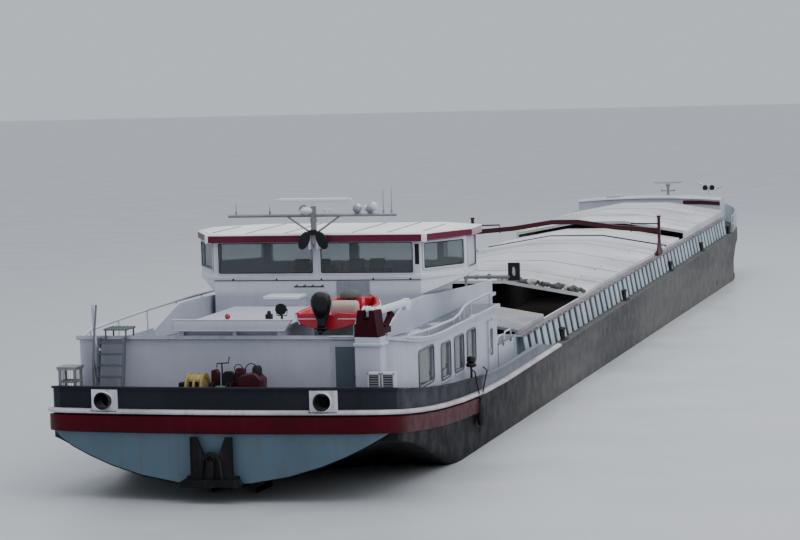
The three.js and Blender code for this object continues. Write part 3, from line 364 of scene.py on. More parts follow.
def deckHalf(x):
    if x < hull["corner"]:
        rise = sqrt(1 - (1 - x / hull["corner"]) ** 2)
        return hull["transomHalf"] + (hull["halfBeam"] - hull["transomHalf"]) * rise
    taper = max(0, min(1, (x - hull["bowStart"]) / (hull["length"] - hull["bowStart"])))
    return max(0.55, hull["halfBeam"] * (1 - taper ** 2.6) ** (1 / 2.2))


def crowned(x, y):
    return x + hull["crown"] * (abs(y) / hull["halfBeam"]) ** 2 * max(0, 1 - x / 5)


# The line round the stern, from the port side to the starboard side, as (x, y, deck height, outwardX, outwardY)
def sternLine(foreX):
    port = [(x, deckHalf(x)) for x in [foreX] + [s for s in sternStations if s < foreX]]
    port += [(0, hull["transomHalf"] * f) for f in reversed(transomShares[:-1])]
    line = port + [(x, -y) for x, y in reversed(port[:-1])]
    spots = [(crowned(x, y), y, deckZ(x)) for x, y in line]
    path = []
    for i, (x, y, z) in enumerate(spots):
        before, after = spots[max(0, i - 1)], spots[min(len(spots) - 1, i + 1)]
        along = Vector((after[0] - before[0], after[1] - before[1])).normalized()
        path.append((x, y, z, along.y, -along.x))
    return path


# Materials of the ship's own parts. Places in them are in the model's own metres, from midships.
def hullTones(k, tone):
    deck = k.times(k.fit(k.normal(2), 0.8, 0.9, smooth=False), k.fit(k.axis(2), 0.2, 0.21))
    deckTone = k.mix(k.fit(k.noise(8, 5), 0.4, 0.65), (0.075, 0.09, 0.1), (0.12, 0.1, 0.09))
    tone = k.mix(k.fit(k.axis(2), 0.095, 0.135), (0.022, 0.02, 0.017), tone)  # wet foot
    # forward of the stern the side is painted lighter gray with scrapes and rust: partly weathered paint,
    # partly painted sheen of the sky on the side
    fore = k.fit(k.axis(0), -3.3, -1.4)
    cloud = k.fit(k.noise(2.4, 7, (0.22, 1, 1.6)), 0.38, 0.66)
    tone = k.mix(fore, tone, k.mix(cloud, (0.052, 0.051, 0.053), (0.115, 0.109, 0.106)))
    scrape = k.fit(k.noise(2.2, 7, (0.16, 1, 2.6)), 0.5, 0.7, (0, 0.6))
    tone = k.mix(k.times(scrape, fore), tone, (0.135, 0.128, 0.123))
    rust = k.fit(k.noise(5, 6, (1, 1, 0.3)), 0.62, 0.75, (0, 0.35))
    tone = k.mix(k.times(rust, fore), tone, (0.07, 0.042, 0.03))
    # inside the hold the hull is painted a darker gray, as painted shade in the open hold
    hold = k.times(k.fit(k.away(1), 0.4065, 0.408, (1, 0)), k.fit(k.axis(0), -2.3, -2.29))
    tone = k.mix(hold, tone, k.mix(k.noise(2.5, 5), (0.07, 0.062, 0.062), (0.035, 0.03, 0.03)))
    return k.mix(deck, tone, deckTone)


# grayer from place to place, and painted lighter from the height of the wheelhouse on, as painted light on the
# upper walls
def wallTones(k, tone):
    cloud = k.mix(k.fit(k.noise(3), 0.35, 0.7, (0, 0.5)), tone, (0.42, 0.44, 0.52))
    return k.mix(k.fit(k.axis(2), 0.6, 0.63, (0, 0.95)), cloud, (0.7, 0.73, 0.78))


# the flat of the roof is light blue-gray with pale salt marks, its edges stay white
def houseTopTones(k, tone):
    marks = k.fit(k.noise(7, 5, (0.6, 1.4, 1)), 0.56, 0.64)
    return k.mix(k.fit(k.normal(2), 0.9, 0.97), tone, k.mix(marks, (0.15, 0.185, 0.215), (0.5, 0.54, 0.6)))


# the aft door is dark green inside a pale frame
def aftDoorTones(k, tone):
    rim = k.math("MAXIMUM", k.fit(k.away(1, -0.3045), 0.0265, 0.0272), k.fit(k.axis(2), 0.549, 0.5505))
    return k.mix(rim, tone, (0.4, 0.42, 0.48))


# the side door is white with a dark pane in its upper half
def sideDoorTones(k, tone):
    pane = k.math("MAXIMUM", k.fit(k.away(0, -2.798), 0.021, 0.022), k.fit(k.away(2, 0.421), 0.041, 0.042))
    return k.mix(pane, (0.03, 0.036, 0.042), tone)


# frost lies on the covers from place to place, and the first cover is dull
def coverTones(k, tone):
    frost = k.fit(k.noise(1.6, 6, (1, 0.6, 1)), 0.42, 0.62)
    dull = k.mix(k.fit(k.noise(4, 5), 0.35, 0.65), (0.23, 0.235, 0.25), (0.38, 0.38, 0.4))
    return k.mix(k.fit(k.axis(0), -1.82, -1.81), dull, k.mix(frost, tone, (0.72, 0.73, 0.755)))


# the coaming is painted near black on the side of the hold, as painted shade inside the open hold
def coamingShadeTones(k, tone):
    hold = k.times(k.fit(k.away(1), 0.4065, 0.408, (1, 0)), k.fit(k.away(0), 3.36, 3.365, (1, 0)))
    return k.mix(k.times(hold, k.fit(k.axis(0), -2.286, -2.283)), tone, (0.05, 0.045, 0.044))


# the bulwark is lighter beside the deckhouse's fore end
def bulwarkTones(k, tone):
    return k.mix(k.fit(k.axis(0), -3.16, -3.06), tone, (0.17, 0.185, 0.21))


# the pipe of a fairlead is painted black inside, as painted shade in its depth
def fairleadShadeTones(k, tone):
    dy, dz = k.math("SUBTRACT", k.away(1), 0.3), k.math("SUBTRACT", k.axis(2), 0.432)
    away = k.math("SQRT", k.math("ADD", k.times(dy, dy), k.times(dz, dz)))
    return k.mix(k.fit(away, 0.0236, 0.0242), (0.006, 0.006, 0.007), tone)


# the belt is painted lighter, paler red forward of the corner, as painted sheen on the ship's side
def beltSheenTones(k, tone):
    return k.mix(k.fit(k.axis(0), -4.15, -3.4, (0, 0.7)), tone, (0.075, 0.017, 0.024))


colors = {
    "hull": paint(
        "hull_black_paint", (0.005, 0.005, 0.006), (0.009, 0.009, 0.01), (0.45, 0.62), streaks=0.04,
        shine=0.07, dents=0.3, dentScale=5, streak=(0.035, 0.03, 0.027), more=hullTones),
    "navy": paint(
        "bulwark_navy_paint", (0.019, 0.019, 0.028), (0.025, 0.025, 0.034), (0.4, 0.55), streaks=0.05,
        shine=0.06, more=bulwarkTones),
    "iron": paint(
        "anchor_black_paint", (0.006, 0.006, 0.008), (0.012, 0.011, 0.012), (0.5, 0.65), spots=0.3,
        shine=0.15),
    "belt": paint(
        "belt_red_paint", (0.075, 0.003, 0.009), (0.055, 0.003, 0.007), (0.4, 0.52), streaks=0.06,
        shine=0.08, more=beltSheenTones),
    "panel": paint(
        "transom_blue_paint", (0.075, 0.125, 0.165), (0.062, 0.105, 0.14), (0.45, 0.6), streaks=0.45),
    "white": paint(
        "white_paint", (0.5, 0.515, 0.6), (0.45, 0.46, 0.54), (0.3, 0.45), streaks=0.14, spots=0.2,
        dents=0.1, streak=(0.25, 0.2, 0.17), more=wallTones),
    "rail": paint("rail_white_paint", (0.62, 0.58, 0.63), (0.4, 0.38, 0.4), (0.4, 0.55), spots=0.7),
    "fairlead": paint(
        "fairlead_paint", (0.72, 0.73, 0.78), (0.56, 0.57, 0.6), (0.45, 0.6), streaks=0.4, spots=0.3,
        more=fairleadShadeTones),
    # the roof paint is brighter than the wall paint: partly its own white, partly painted light on the
    # sky-facing roof
    "roof": paint(
        "roof_paint", (0.93, 0.93, 0.95), (0.8, 0.8, 0.82), (0.5, 0.65), streaks=0.15, spots=0.3,
        streak=(0.4, 0.4, 0.4)),
    "houseTop": paint(
        "house_roof_paint", (0.5, 0.515, 0.6), (0.45, 0.46, 0.54), spots=0.3, more=houseTopTones),
    "red": paint(
        "dark_red_paint", (0.06, 0.005, 0.013), (0.036, 0.006, 0.01), (0.35, 0.5), streaks=0.1, spots=0.3,
        shine=0.3),
    "maroon": paint(
        "crane_maroon_paint", (0.04, 0.003, 0.009), (0.026, 0.003, 0.007), (0.4, 0.55), streaks=0.05,
        spots=0.15, shine=0.08),
    "gray": paint("gray_paint", (0.12, 0.14, 0.16), (0.09, 0.11, 0.13), (0.45, 0.6), spots=0.3),
    "aftDoor": paint(
        "aft_door_paint", (0.085, 0.115, 0.13), (0.07, 0.095, 0.108), (0.4, 0.55), spots=0.2, shine=0.3,
        more=aftDoorTones),
    "sideDoor": paint(
        "side_door_paint", (0.5, 0.515, 0.6), (0.45, 0.46, 0.54), (0.35, 0.5), spots=0.2,
        more=sideDoorTones),
    "pale": paint("pale_gray_panel", (0.27, 0.285, 0.33), (0.23, 0.245, 0.28), (0.4, 0.55), spots=0.2),
    # the coaming plate is painted lighter than its stiffeners, which share its paint: painted light in the
    # shaded gaps between the stiffeners
    "coaming": paint(
        "coaming_blue_paint", (0.62, 0.71, 0.77), (0.5, 0.57, 0.62), (0.45, 0.6), streaks=0.5, spots=0.6,
        dents=0.3, streak=(0.1, 0.07, 0.06), more=coamingShadeTones),
    "steel": paint("galvanized_steel", (0.34, 0.35, 0.37), (0.24, 0.25, 0.26), streaks=0.2, metal=0.6),
    "aluminum": paint(
        "cover_aluminum", (0.62, 0.63, 0.66), (0.45, 0.45, 0.47), (0.4, 0.58), streaks=0.2, spots=0.15,
        dents=0.2, streak=(0.3, 0.29, 0.27), patch=3, metal=0.15, more=coverTones),
    "black": paint(
        "black_plastic", (0.008, 0.008, 0.01), (0.014, 0.014, 0.016), streaks=0, shine=0.25, dents=0.08),
    "rubber": paint("black_rubber", (0.01, 0.01, 0.011), (0.025, 0.024, 0.023), (0.7, 0.85), streaks=0.15),
    "yellow": paint(
        "yellow_paint", (0.34, 0.28, 0.07), (0.22, 0.18, 0.06), (0.4, 0.55), spots=0.7,
        streak=(0.06, 0.05, 0.03)),
    "brass": paint(
        "propeller_bronze", (0.45, 0.31, 0.14), (0.35, 0.25, 0.12), (0.3, 0.45), streaks=0, metal=0.9),
    "dinghyRed": paint(
        "dinghy_gelcoat", (0.55, 0.008, 0.03), (0.45, 0.01, 0.03), (0.2, 0.34), streaks=0.05, dents=0.04),
    "beige": paint(
        "seat_cover", (0.5, 0.46, 0.42), (0.42, 0.38, 0.34), (0.75, 0.85), streaks=0, dents=0.3,
        dentScale=30),
    "fascia": paint(
        "fascia_red_paint", (0.14, 0.008, 0.035), (0.1, 0.008, 0.025), (0.3, 0.45), streaks=0.05,
        shine=0.25),
    "fadedFascia": paint("faded_fascia_paint", (0.4, 0.2, 0.25), (0.45, 0.3, 0.33), (0.5, 0.65)),
    "trim": paint("trim_white_paint", (0.6, 0.6, 0.66), (0.5, 0.5, 0.55), (0.35, 0.5), streaks=0.15),
    "screen": paint(
        "screen_glass", (0.05, 0.09, 0.12), (0.08, 0.12, 0.14), (0.08, 0.15), streaks=0, dents=0.02),
    "lens": paint(
        "lamp_lens", (0.5, 0.53, 0.56), (0.35, 0.38, 0.4), (0.05, 0.12), streaks=0, dents=0.3,
        dentScale=40),
    "lampRed": paint(
        "lamp_red_cap", (0.45, 0.01, 0.03), (0.35, 0.02, 0.04), (0.15, 0.25), streaks=0, dents=0.05),
    "grille": paint("grille_metal", (0.2, 0.21, 0.22), (0.12, 0.12, 0.13), (0.5, 0.65), spots=0.5, metal=0.3),
    "coverGray": paint(
        "gray_tarpaulin", (0.1, 0.105, 0.1), (0.07, 0.075, 0.07), (0.7, 0.85), streaks=0, dents=0.5,
        dentScale=40),
    "cowl": paint(
        "outboard_cowl", (0.004, 0.004, 0.006), (0.007, 0.007, 0.009), (0.22, 0.34), streaks=0, shine=0.3,
        dents=0.02),
    "coverEdge": paint("cover_edge_strip", (0.6, 0.6, 0.6), (0.46, 0.45, 0.43), (0.5, 0.65), spots=0.4),
    "ledge": paint(
        "coaming_ledge_paint", (0.2, 0.17, 0.18), (0.12, 0.1, 0.11), (0.55, 0.7), streaks=0.5, spots=0.9,
        dents=0.5, dentScale=30, streak=(0.06, 0.045, 0.04)),
    # the stiffeners are the coaming's paint painted darker, as painted shade on their lit flanges, to keep the
    # contrast with the gaps low
    "stiffener": paint(
        "coaming_stiffener_paint", (0.46, 0.53, 0.58), (0.34, 0.39, 0.43), (0.45, 0.6), streaks=0.5,
        spots=0.6, streak=(0.12, 0.08, 0.07)),
    "curtain": paint("curtain_cloth", (0.36, 0.38, 0.35), (0.28, 0.3, 0.28), (0.8, 0.9), streaks=0),
}


def glassLook():
    k = Look("window_glass")
    k.set({"Transmission Weight": 0.9, "IOR": 1.15, "Roughness": k.fit(k.noise(12, 3), 0.4, 0.7, (0.01, 0.05))})
    return k.color(k.mix(k.noise(4, 3), (0.5, 0.54, 0.56), (0.58, 0.61, 0.62)))


colors["glass"] = glassLook()

finishes = {
    "hull": "hull_aft hull_mid hull_fore propeller_nozzle rudder_port rudder_starboard",
    "white": "deckhouse roof_rail_port roof_rail_starboard roof_platform crane_pedestal crane_boom "
             "air_units wheelhouse radar_scanner fore_cabin fore_scanner",
    "steel": "stern_locker crane_rod dinghy_chocks radar_mast mast_foot fore_mast signal_post signal_arm",
    "gray": "engine_block boarding_ladder helm_console fore_door windlass",
    "rail": "rub_rail", "navy": "aft_bulwark", "fairlead": "fairlead_port fairlead_starboard",
    "brass": "propeller", "iron": "stern_anchor winch_drum", "coaming": "hatch_coaming bow_bulwark",
    "red": "cover_gantry stern_winch", "maroon": "crane_base crane_barrel", "houseTop": "deckhouse_roof",
    "aftDoor": "aft_door", "sideDoor": "side_door", "dinghyRed": "dinghy", "black": "outboard",
    "roof": "wheelhouse_roof", "rubber": "helm_chair",
    "aluminum": " ".join(f"hatch_cover_{number}" for number in range(1, 11)),
}
for finish, nodes in finishes.items():
    for node in nodes.split():
        dress(node, colors[finish])
print("materials ready")


# Belt, transom panel and the edge of the bulwark
bands = {"panelAboveArc": 0.035, "skin": 0.014, "panelGap": 0.012, "capLift": 0.006}


def bulwarkTop(x):
    return 0.5 + 0.22 * max(0, 1 - x / hull["sheerEnd"]) - max(0, x - 20) * 0.12


def transomArc(y):
    return hull["arcBottom"] + hull["arcRadius"] - sqrt(hull["arcRadius"] ** 2 - y ** 2)


# The light panel covers the transom and runs out on the rounded corners, where the arc meets the belt
def panelColumns(b, top):
    columns = [(x, y, nx, ny, transomArc(y) + b["panelAboveArc"]) for x, y, z, nx, ny in sternLine(0.6)]
    tips = []
    for a, c in zip(columns, columns[1:]):
        if (a[4] < top) != (c[4] < top):
            share = (top - 0.01 - a[4]) / (c[4] - a[4])
            tips.append((*(p + (q - p) * share for p, q in zip(a[:4], c)), top - 0.01))
    return tips[:1] + [c for c in columns if c[4] < top - 0.02] + tips[-1:]


def hullBands(b):
    w, skin = hull["belt"], b["skin"]
    reach = hull["beltProud"] + skin
    belt = [(-0.03, -w - 0.01), (reach - 0.015, 0.01 - w), (reach, 0.03 - w), (reach, -0.025),
            (reach - 0.015, -0.008), (-0.03, 0.002)]
    Shape().sweep(sternLine(hull["beltEnd"]), belt).make("belt", "belt", "red")
    cap = [(-0.1, 0), (0.058, 0), (0.062, 0.01), (0.05, 0.022), (-0.09, 0.022)]
    path = [(x, y, z + b["capLift"] + bulwarkTop(x), nx, ny) for x, y, z, nx, ny in sternLine(20.1)]
    Shape().sweep(path, cap).make("bulwark_cap", "navy", "hullBlack")
    top = deckZ(0) - w - b["panelGap"]
    rings = []
    for x, y, nx, ny, low in panelColumns(b, top):
        section = ((skin, low), (skin, top), (0.001, top), (0.001, low))
        rings.append([(x + nx * out, y + ny * out, z) for out, z in section])
    Shape().rings(rings).make("transom_panel", "panel", "blue")


hullBands(bands)

# Bollards behind the fairleads, along the side deck and at the bow
bollards = {"sternX": 0.78, "sternY": 3.0, "sideX": (25.8, 39.8, 53.3, 64.5, 76.1), "sideY": 4.5, "bowX": 81.2,
            "bowY": 2.6}


def bollard(shape, x, y, foot, along, radius, high, spread=0.25):
    dx, dy = (spread, 0) if along == "x" else (0, spread)
    shape.box(x - dx - 0.2, x + dx + 0.2, y - dy - 0.2, y + dy + 0.2, foot - 0.05, foot + 0.035)
    profile = [(radius, 0), (radius, high - 0.08), (radius + 0.03, high - 0.07), (radius + 0.03, high - 0.02),
               (radius, high), (0, high + 0.01)]
    for s in (-1, 1):
        shape.turned((x + s * dx, y + s * dy, foot), profile, sides=20)


def mooringPieces(b):
    stern, sides, bow = shapes(3)
    for s in (1, -1):
        bollard(stern, b["sternX"], s * b["sternY"], deckZ(b["sternX"]), "y", 0.16, 0.6, 0.2)
        bollard(bow, b["bowX"], s * b["bowY"], deckZ(b["bowX"]), "x", 0.13, 0.5)
        for x in b["sideX"]:
            bollard(sides, x, s * b["sideY"], hull["sideDepth"], "x", 0.075, 0.42, 0.17)
    stern.make("stern_bollards", "black", "hullBlack", bevel=0.01)
    sides.make("side_deck_bollards", "black", "hullBlack", bevel=0.008)
    bow.make("bow_bollards", "black", "hullBlack", bevel=0.01)


mooringPieces(bollards)


# Stern anchor: arched crown, rims of its pocket, shank with its ring
def anchorDetails():
    trim = Shape()
    arch = [(-0.25, 0.24 * cos(t), 2.62 + 0.36 * sin(t)) for t in (pi * i / 12 for i in range(13))]
    trim.tube([(-0.25, 0.3, 2.3)] + arch + [(-0.25, -0.3, 2.3)], 0.055, 10)
    for s in (1, -1):
        trim.rod((-0.25, s * 0.54, 2.45), (-0.25, s * 0.54, 3.38), 0.02, 0.012, 8)
        trim.ball((-0.26, s * 0.78, 2.2), 0.09, 0.7)
    trim.make("anchor_rims", "iron", "hullBlack")
    shank = Shape().box(-0.36, -0.24, -0.085, 0.085, 2.34, 2.74).band((-0.3, 0, 2.82), 0.09, 0.135, 0.022, "x")
    shank.make("anchor_shank", "iron", "hullBlack", bevel=0.02)


anchorDetails()

# Fender on two ropes, and the outlets in the side as (x, z, size)
fender = {"x": 10.15, "y": -4.93, "top": 2.95, "low": 2.2, "radius": 0.12, "ropes": ((9.2, 4.02), (10.9, 3.86)),
          "outlets": ((20.3, 1.02, 0.16), (20.9, 1.0, 0.09), (68.3, 0.95, 0.2), (76.0, 0.62, 0.2))}


def sideDetails(f):
    body, ropes, rims, mouths = shapes(4)
    x, y, low, r = f["x"], f["y"], f["low"], f["radius"]
    tall = f["top"] - low
    body.turned((x, y, low), [(0.02, 0), (0.7 * r, 0.03), (r, 0.14), (r, tall - 0.14), (0.7 * r, tall - 0.03),
                              (0.03, tall)], sides=20)
    for z in (0.25, 0.4, 0.55):
        body.hoop((x, y, low + z), [(0.1, -0.02), (0.135, 0), (0.1, 0.02)], sides=20)
    body.make("fender", "rubber", "rubber")
    for holeX, z in f["ropes"]:
        ropes.tube([(holeX, -4.86, z), (holeX, -4.99, z - 0.1), (x, -4.94, f["top"] - 0.05)], 0.022)
    ropes.tube([(x, -4.94, low + 0.1), (x - 0.3, -4.96, low - 0.12)], 0.03)
    ropes.make("fender_ropes", "black", "rubber")
    for x, z, w in f["outlets"]:
        for y in (hull["halfBeam"], -hull["halfBeam"]):
            a, b = w * 0.62, w * 0.85
            rims.hoop((x, y, z), [(a, -0.02), (a, 0.03), (b, 0.03), (b, -0.02)], "y", 20)
            mouths.turned((x, y, z), [(0, -0.01), (a, -0.01), (a, 0.012), (0, 0.012)], "y", 20)
    rims.make("hull_outlet_rims", "hull", "hullBlack")
    mouths.make("hull_outlets", "rubber", "rubber")


sideDetails(fender)
print("hull ready")


# Windows: a dark gasket with round corners about each opening and a pane just inside it
def framed(shape, place, width, height, rim, thick, radius):
    outer = roundRect(width + 2 * rim, height + 2 * rim, radius + rim * 0.6)
    shape.spot = place
    shape.rim(outer, roundRect(width - 0.02, height - 0.02, radius), -thick, 0)


# A frame on a wall whose outside faces the given compass angle, 0 is forward and 90 is port
def wallPlace(x, y, z, facing, out):
    turn = radians(facing)
    spot = (x + out * cos(turn), y + out * sin(turn), z)
    return Matrix.Translation(spot) @ Matrix.Rotation(radians(facing + 90), 4, "Z")


def roofEdgeZ(x):
    return 5.18 + 0.5 * max(0, (7.5 - x) / 5.3) ** 1.8


house = {"aft": 2.2, "port": 4.55, "starboard": 4.35}
# spans as (x, width), and the shares of a window that its curtain covers
sideWindows = {"spans": ((5.0, 1.75), (7.7, 1.15), (9.4, 1.2), (11.1, 1.15)), "height": 1.0, "rim": 0.04,
               "firstCurtain": ((0, 1),), "curtains": ((0, 0.3), (0.78, 1)), "fold": 0.045}


def deckhouseWindows(s):
    gaskets, panes, curtains, sills = shapes(4)
    for side in (1, -1):
        wall = house["port"] if side > 0 else house["starboard"]
        for number, (x, width) in enumerate(s["spans"]):
            z = roofEdgeZ(x) - 0.8
            place = wallPlace(x + width / 2, side * wall, z, 90 * side, 0.002)
            framed(gaskets, place, width, s["height"], s["rim"], 0.028, 0.12)
            y = side * (wall - 0.05)
            panes.box(x + 0.005, x + width - 0.005, y - 0.01, y + 0.01, z - 0.495, z + 0.495)
            sills.box(x - 0.04, x + width + 0.04, side * wall, side * (wall + 0.045), z - 0.6, z - 0.565)
            for low, high in s["curtains"] if number else s["firstCurtain"]:
                count = max(4, round((high - low) * width / s["fold"]))
                folds = [(x + width * (low + (high - low) * i / count), side * (wall - 0.15 - 0.03 * (i % 2)))
                         for i in range(count + 1)]
                for a, b in zip(folds, folds[1:]):
                    corners = [(*a, z - 0.52), (*b, z - 0.52), (*b, z + 0.5), (*a, z + 0.5)]
                    curtains.put(corners, [(0, 1, 2, 3)])
    gaskets.make("house_window_gaskets", "gray", "rubber", bevel=0.006)
    panes.make("house_window_panes", "glass", "gray")
    curtains.make("house_curtains", "curtain", "gray", angle=80)
    sills.make("house_window_sills", "white", "white", bevel=0.008)


deckhouseWindows(sideWindows)

wheelWindows = {"plan": ((10.2, 3.2), (12.0, 4.2), (13.4, 4.2), (14.6, 2.9)), "low": 6.76, "high": 7.65,
                "rim": 0.05}


def wheelhouseWindows(s):
    plan, low, tall = s["plan"], s["low"], s["high"] - s["low"]
    spots = [(10.2, 1.575, 180, 2.93, tall, low), (10.2, -1.565, 180, 2.81, tall, low)]
    for side in (1, -1):
        spots.append((14.6, side * 1.425, 0, 2.55, tall, low))
        spots.append((12.7, side * 4.2, 90 * side, 1.0, tall, low))
        for (ax, ay), (bx, by) in (plan[:2], plan[2:]):
            facing = side * (degrees(atan2(by - ay, bx - ax)) + 90)
            length = hypot(bx - ax, by - ay)
            spots.append(((ax + bx) / 2, side * (ay + by) / 2, facing, length - 0.32, tall - 0.17, low + 0.12))
    gaskets, frames, panes, blinds = shapes(4)
    for x, y, facing, width, height, foot in spots:
        places = [wallPlace(x, y, foot + height / 2, facing, out) for out in (0.002, 0.001, -0.045, -0.02)]
        framed(gaskets, places[0], width, height, 0.012, 0.02, 0.05)
        framed(frames, places[1], width + 0.05, height + 0.05, s["rim"], 0.035, 0.06)
        w, h = width / 2 - 0.004, height / 2 - 0.004
        panes.spot, blinds.spot = places[2:]
        panes.box(-w, w, -0.008, 0.008, -h, h)
        if abs(facing) == 90:
            blinds.box(-w, w, -0.006, 0.006, -h, h)
    gaskets.make("wheelhouse_gaskets", "black", "rubber")
    frames.make("wheelhouse_window_frames", "trim", "white", bevel=0.006)
    panes.make("wheelhouse_panes", "glass", "gray")
    blinds.make("wheelhouse_side_blinds", "trim", "white", bevel=0.004)
    slit = Shape().box(10.185, 10.2, -3.17, -3.04, 7.0, 7.6)
    slit.make("wheelhouse_corner_pane", "black", "rubber", bevel=0.004)


wheelhouseWindows(wheelWindows)
print("windows ready")

# Wheelhouse: red fascia, roof seams, sill band with bolts, door panel
wheelhouse = {"foot": 5.283, "roof": 7.86, "fasciaLow": 7.69, "sillLow": 6.55, "sillHigh": 6.72,
              "door": (-0.62, -1.64), "seams": (-3.2, -2.2, -1.1, 1.0, 2.2, 3.4),
              "bolts": (-2.9, -1.76, -0.16, 1.24, 2.6), "fasciaGap": {1: 0.13, -1: 0.23}}


# a corner of the wheelhouse's half plan, grown all round
def planPoint(i, grow):
    x, y = wheelWindows["plan"][i]
    return x + copysign(grow, x - 11.8), y + grow * 0.9


# spots are corners of the plan, each with a y of its own or None
def wallStrip(side, spots, low, high, inner, outer):
    rings = []
    for i, fixed in spots:
        (ax, ay), (bx, by) = planPoint(i, inner), planPoint(i, outer)
        ay, by = (side * (y if fixed is None else fixed) for y in (ay, by))
        rings.append([(ax, ay, low), (ax, ay, high), (bx, by, high), (bx, by, low)])
    return rings


def wheelhouseTrim(w):
    fascia, faded, lip, sill, bolts, seams = shapes(6)
    roof, low, sillLow = w["roof"], w["fasciaLow"], w["sillLow"]
    around = ((0, 0), (0, None), (1, None), (2, None), (3, None), (3, 0))
    for side in (1, -1):
        aft = ((0, w["fasciaGap"][side]), (0, None))
        fascia.rings(wallStrip(side, aft, low, roof + 0.03, 0.005, 0.172))
        fascia.rings(wallStrip(side, around[1:3], low + 0.02, roof + 0.03, 0.005, 0.172))
        faded.rings(wallStrip(side, around[2:], low, roof + 0.03, 0.005, 0.172))
        lip.rings(wallStrip(side, around, roof + 0.031, roof + 0.062, 0.1, 0.18))
        x, y = planPoint(0, 0.175)
        lip.slab("z", [(x - 0.012, side * y + 0.07), (x - 0.012, side * (y + 0.02) - 0.07),
                       (x + 0.14, side * (y + 0.07)), (x + 0.12, side * (y - 0.05))], low - 0.02, roof + 0.05)
        sill.rings(wallStrip(side, around, sillLow, w["sillHigh"], 0.002, 0.03))
    for y in w["bolts"]:
        bolts.turned((10.165, y, sillLow + 0.02), [(0, -0.012), (0.028, -0.01), (0.028, 0.01)], "x", 12)
    bolts.rod((10.186, 3.2, sillLow - 0.012), (10.186, -3.2, sillLow - 0.012), 0.01, sides=6)
    fascia.make("wheelhouse_fascia", "fascia", "red", bevel=0.008)
    faded.make("wheelhouse_fascia_fore", "fadedFascia", "red", bevel=0.008)
    lip.make("wheelhouse_roof_lip", "roof", "white", bevel=0.02)
    sill.make("wheelhouse_sill", "white", "white", bevel=0.006)
    bolts.make("wheelhouse_seam", "black", "rubber")
    a, b = w["door"]
    panel = Shape().box(10.17, 10.202, b, a, w["foot"] + 0.05, sillLow - 0.03)
    panel.make("wheelhouse_aft_panel", "pale", "gray", bevel=0.01)
    for y in w["seams"]:
        start, end = 10.3 if abs(y) < 3 else 10.7, 14.5 if abs(y) < 2.9 else 13.6
        low, high = roof + 0.078, roof + 0.094
        seams.slab("y", [(start, low), (end, low), (end, high), (start + 0.05, high)], y - 0.018, y + 0.018)
    seams.make("wheelhouse_roof_seams", "gray", "gray")


wheelhouseTrim(wheelhouse)


# Inside the wheelhouse: screens and a wheel on the desk
def wheelhouseInside():
    screens, glow, bits = shapes(3)
    for y in (-1.2, -0.55, 0.55, 1.2):
        screens.slab("y", [(12.72, 6.62), (12.8, 6.62), (12.92, 6.96), (12.84, 6.96)], y - 0.24, y + 0.24)
        glow.slab("y", [(12.712, 6.65), (12.72, 6.65), (12.83, 6.93), (12.822, 6.93)], y - 0.21, y + 0.21)
    bits.turned((12.62, 0, 6.6), [(0, 0), (0.05, 0), (0.04, 0.12), (0, 0.13)], "z", 12)
    bits.hoop((12.6, 0, 6.78), [(0.15, -0.012), (0.175, 0), (0.15, 0.012)], "x")
    bits.box(12.2, 12.5, 1.9, 2.5, 5.3, 6.3)
    screens.make("helm_screens", "black", "rubber", bevel=0.01)
    glow.make("helm_screen_faces", "screen", "gray")
    bits.make("helm_wheel_and_cabinet", "gray", "gray", bevel=0.01)


wheelhouseInside()


# The rounded cover of a scanner, a bar across the ship with two narrower ends
def scannerCover(name, body, centre, half, count, size, tip, flat=1):
    x, y, z = centre
    rings = []
    for i in range(count + 1):
        r = tip if i in (0, count) else size
        rings.append([(x + r * flat * c, y - half + 2 * half * i / count, z + r * s) for c, s in circle(14)])
    Shape().rings(rings).make(name, "white", "white", body=body)


# Mast: foot fairing, domes and whip aerials ride on the folding mast.
# Domes are (side, lift, radius, height, sides), whips are (side, height).
mast = {"x": 9.9, "y": -0.05, "hinge": 7.72, "barZ": 8.5, "scanner": 8.943,
        "whips": ((2.4, 0.42), (1.35, 0.3), (-2.15, 0.77), (-2.4, 0.8)),
        "domes": ((-1.38, 0.22, 0.1, 1.15, 16), (-1.62, 0.2, 0.08, 1.15, 16), (-1.86, 0.24, 0.12, 1.15, 16),
                  (-0.35, 0.16, 0.06, 1, 12), (-0.5, 0.15, 0.05, 1, 12))}


def mastPieces(m):
    x, y, z, bar = m["x"], m["y"], m["hinge"], m["barZ"]
    lobes, white, gray = shapes(3)
    for side in (1, -1):
        lobe = [(y + side * (0.27 + 0.17 * c - 0.08 * s), z + 0.06 + (0.29 if s < 0 else 0.25) * s)
                for c, s in circle(20)]
        lobes.slab("x", lobe, x - 0.17, x - 0.1)
    lobes.slab("x", [(y - 0.22, z + 0.26), (y - 0.1, z + 0.36), (y + 0.1, z + 0.36), (y + 0.22, z + 0.26),
                     (y + 0.1, z + 0.2), (y - 0.1, z + 0.2)], x - 0.165, x - 0.105)
    lobes.make("mast_foot_fairing", "black", "rubber", body="radar_mast", bevel=0.02)
    white.ball((x - 0.05, y + 0.2, bar + 0.14), 0.2, 0.62, 20)
    for side, lift, radius, high, sides in m["domes"]:
        white.ball((x, y + side, bar + lift), radius, high, sides)
    white.make("mast_domes", "white", "white", body="radar_mast")
    for side, tall in m["whips"]:
        gray.rod((x, y + side, bar), (x, y + side, bar + tall), 0.016, 0.008, 8)
        gray.rod((x, y + side, bar), (x, y + side, bar + 0.14), 0.03, sides=10)
    gray.band((x, y, 8.35), 0.08, 0.11, 0.04, "z", 4)
    for side in (-2.5, 2.6):
        gray.ball((x, y + side, bar), 0.058, 1, 12)
    gray.make("mast_aerials", "steel", "steel", body="radar_mast")
    scannerCover("radar_scanner_cover", "radar_scanner", (x, y, m["scanner"]), 1.2, 12, 0.075, 0.05, 1.05)


mastPieces(mast)
print("wheelhouse ready")

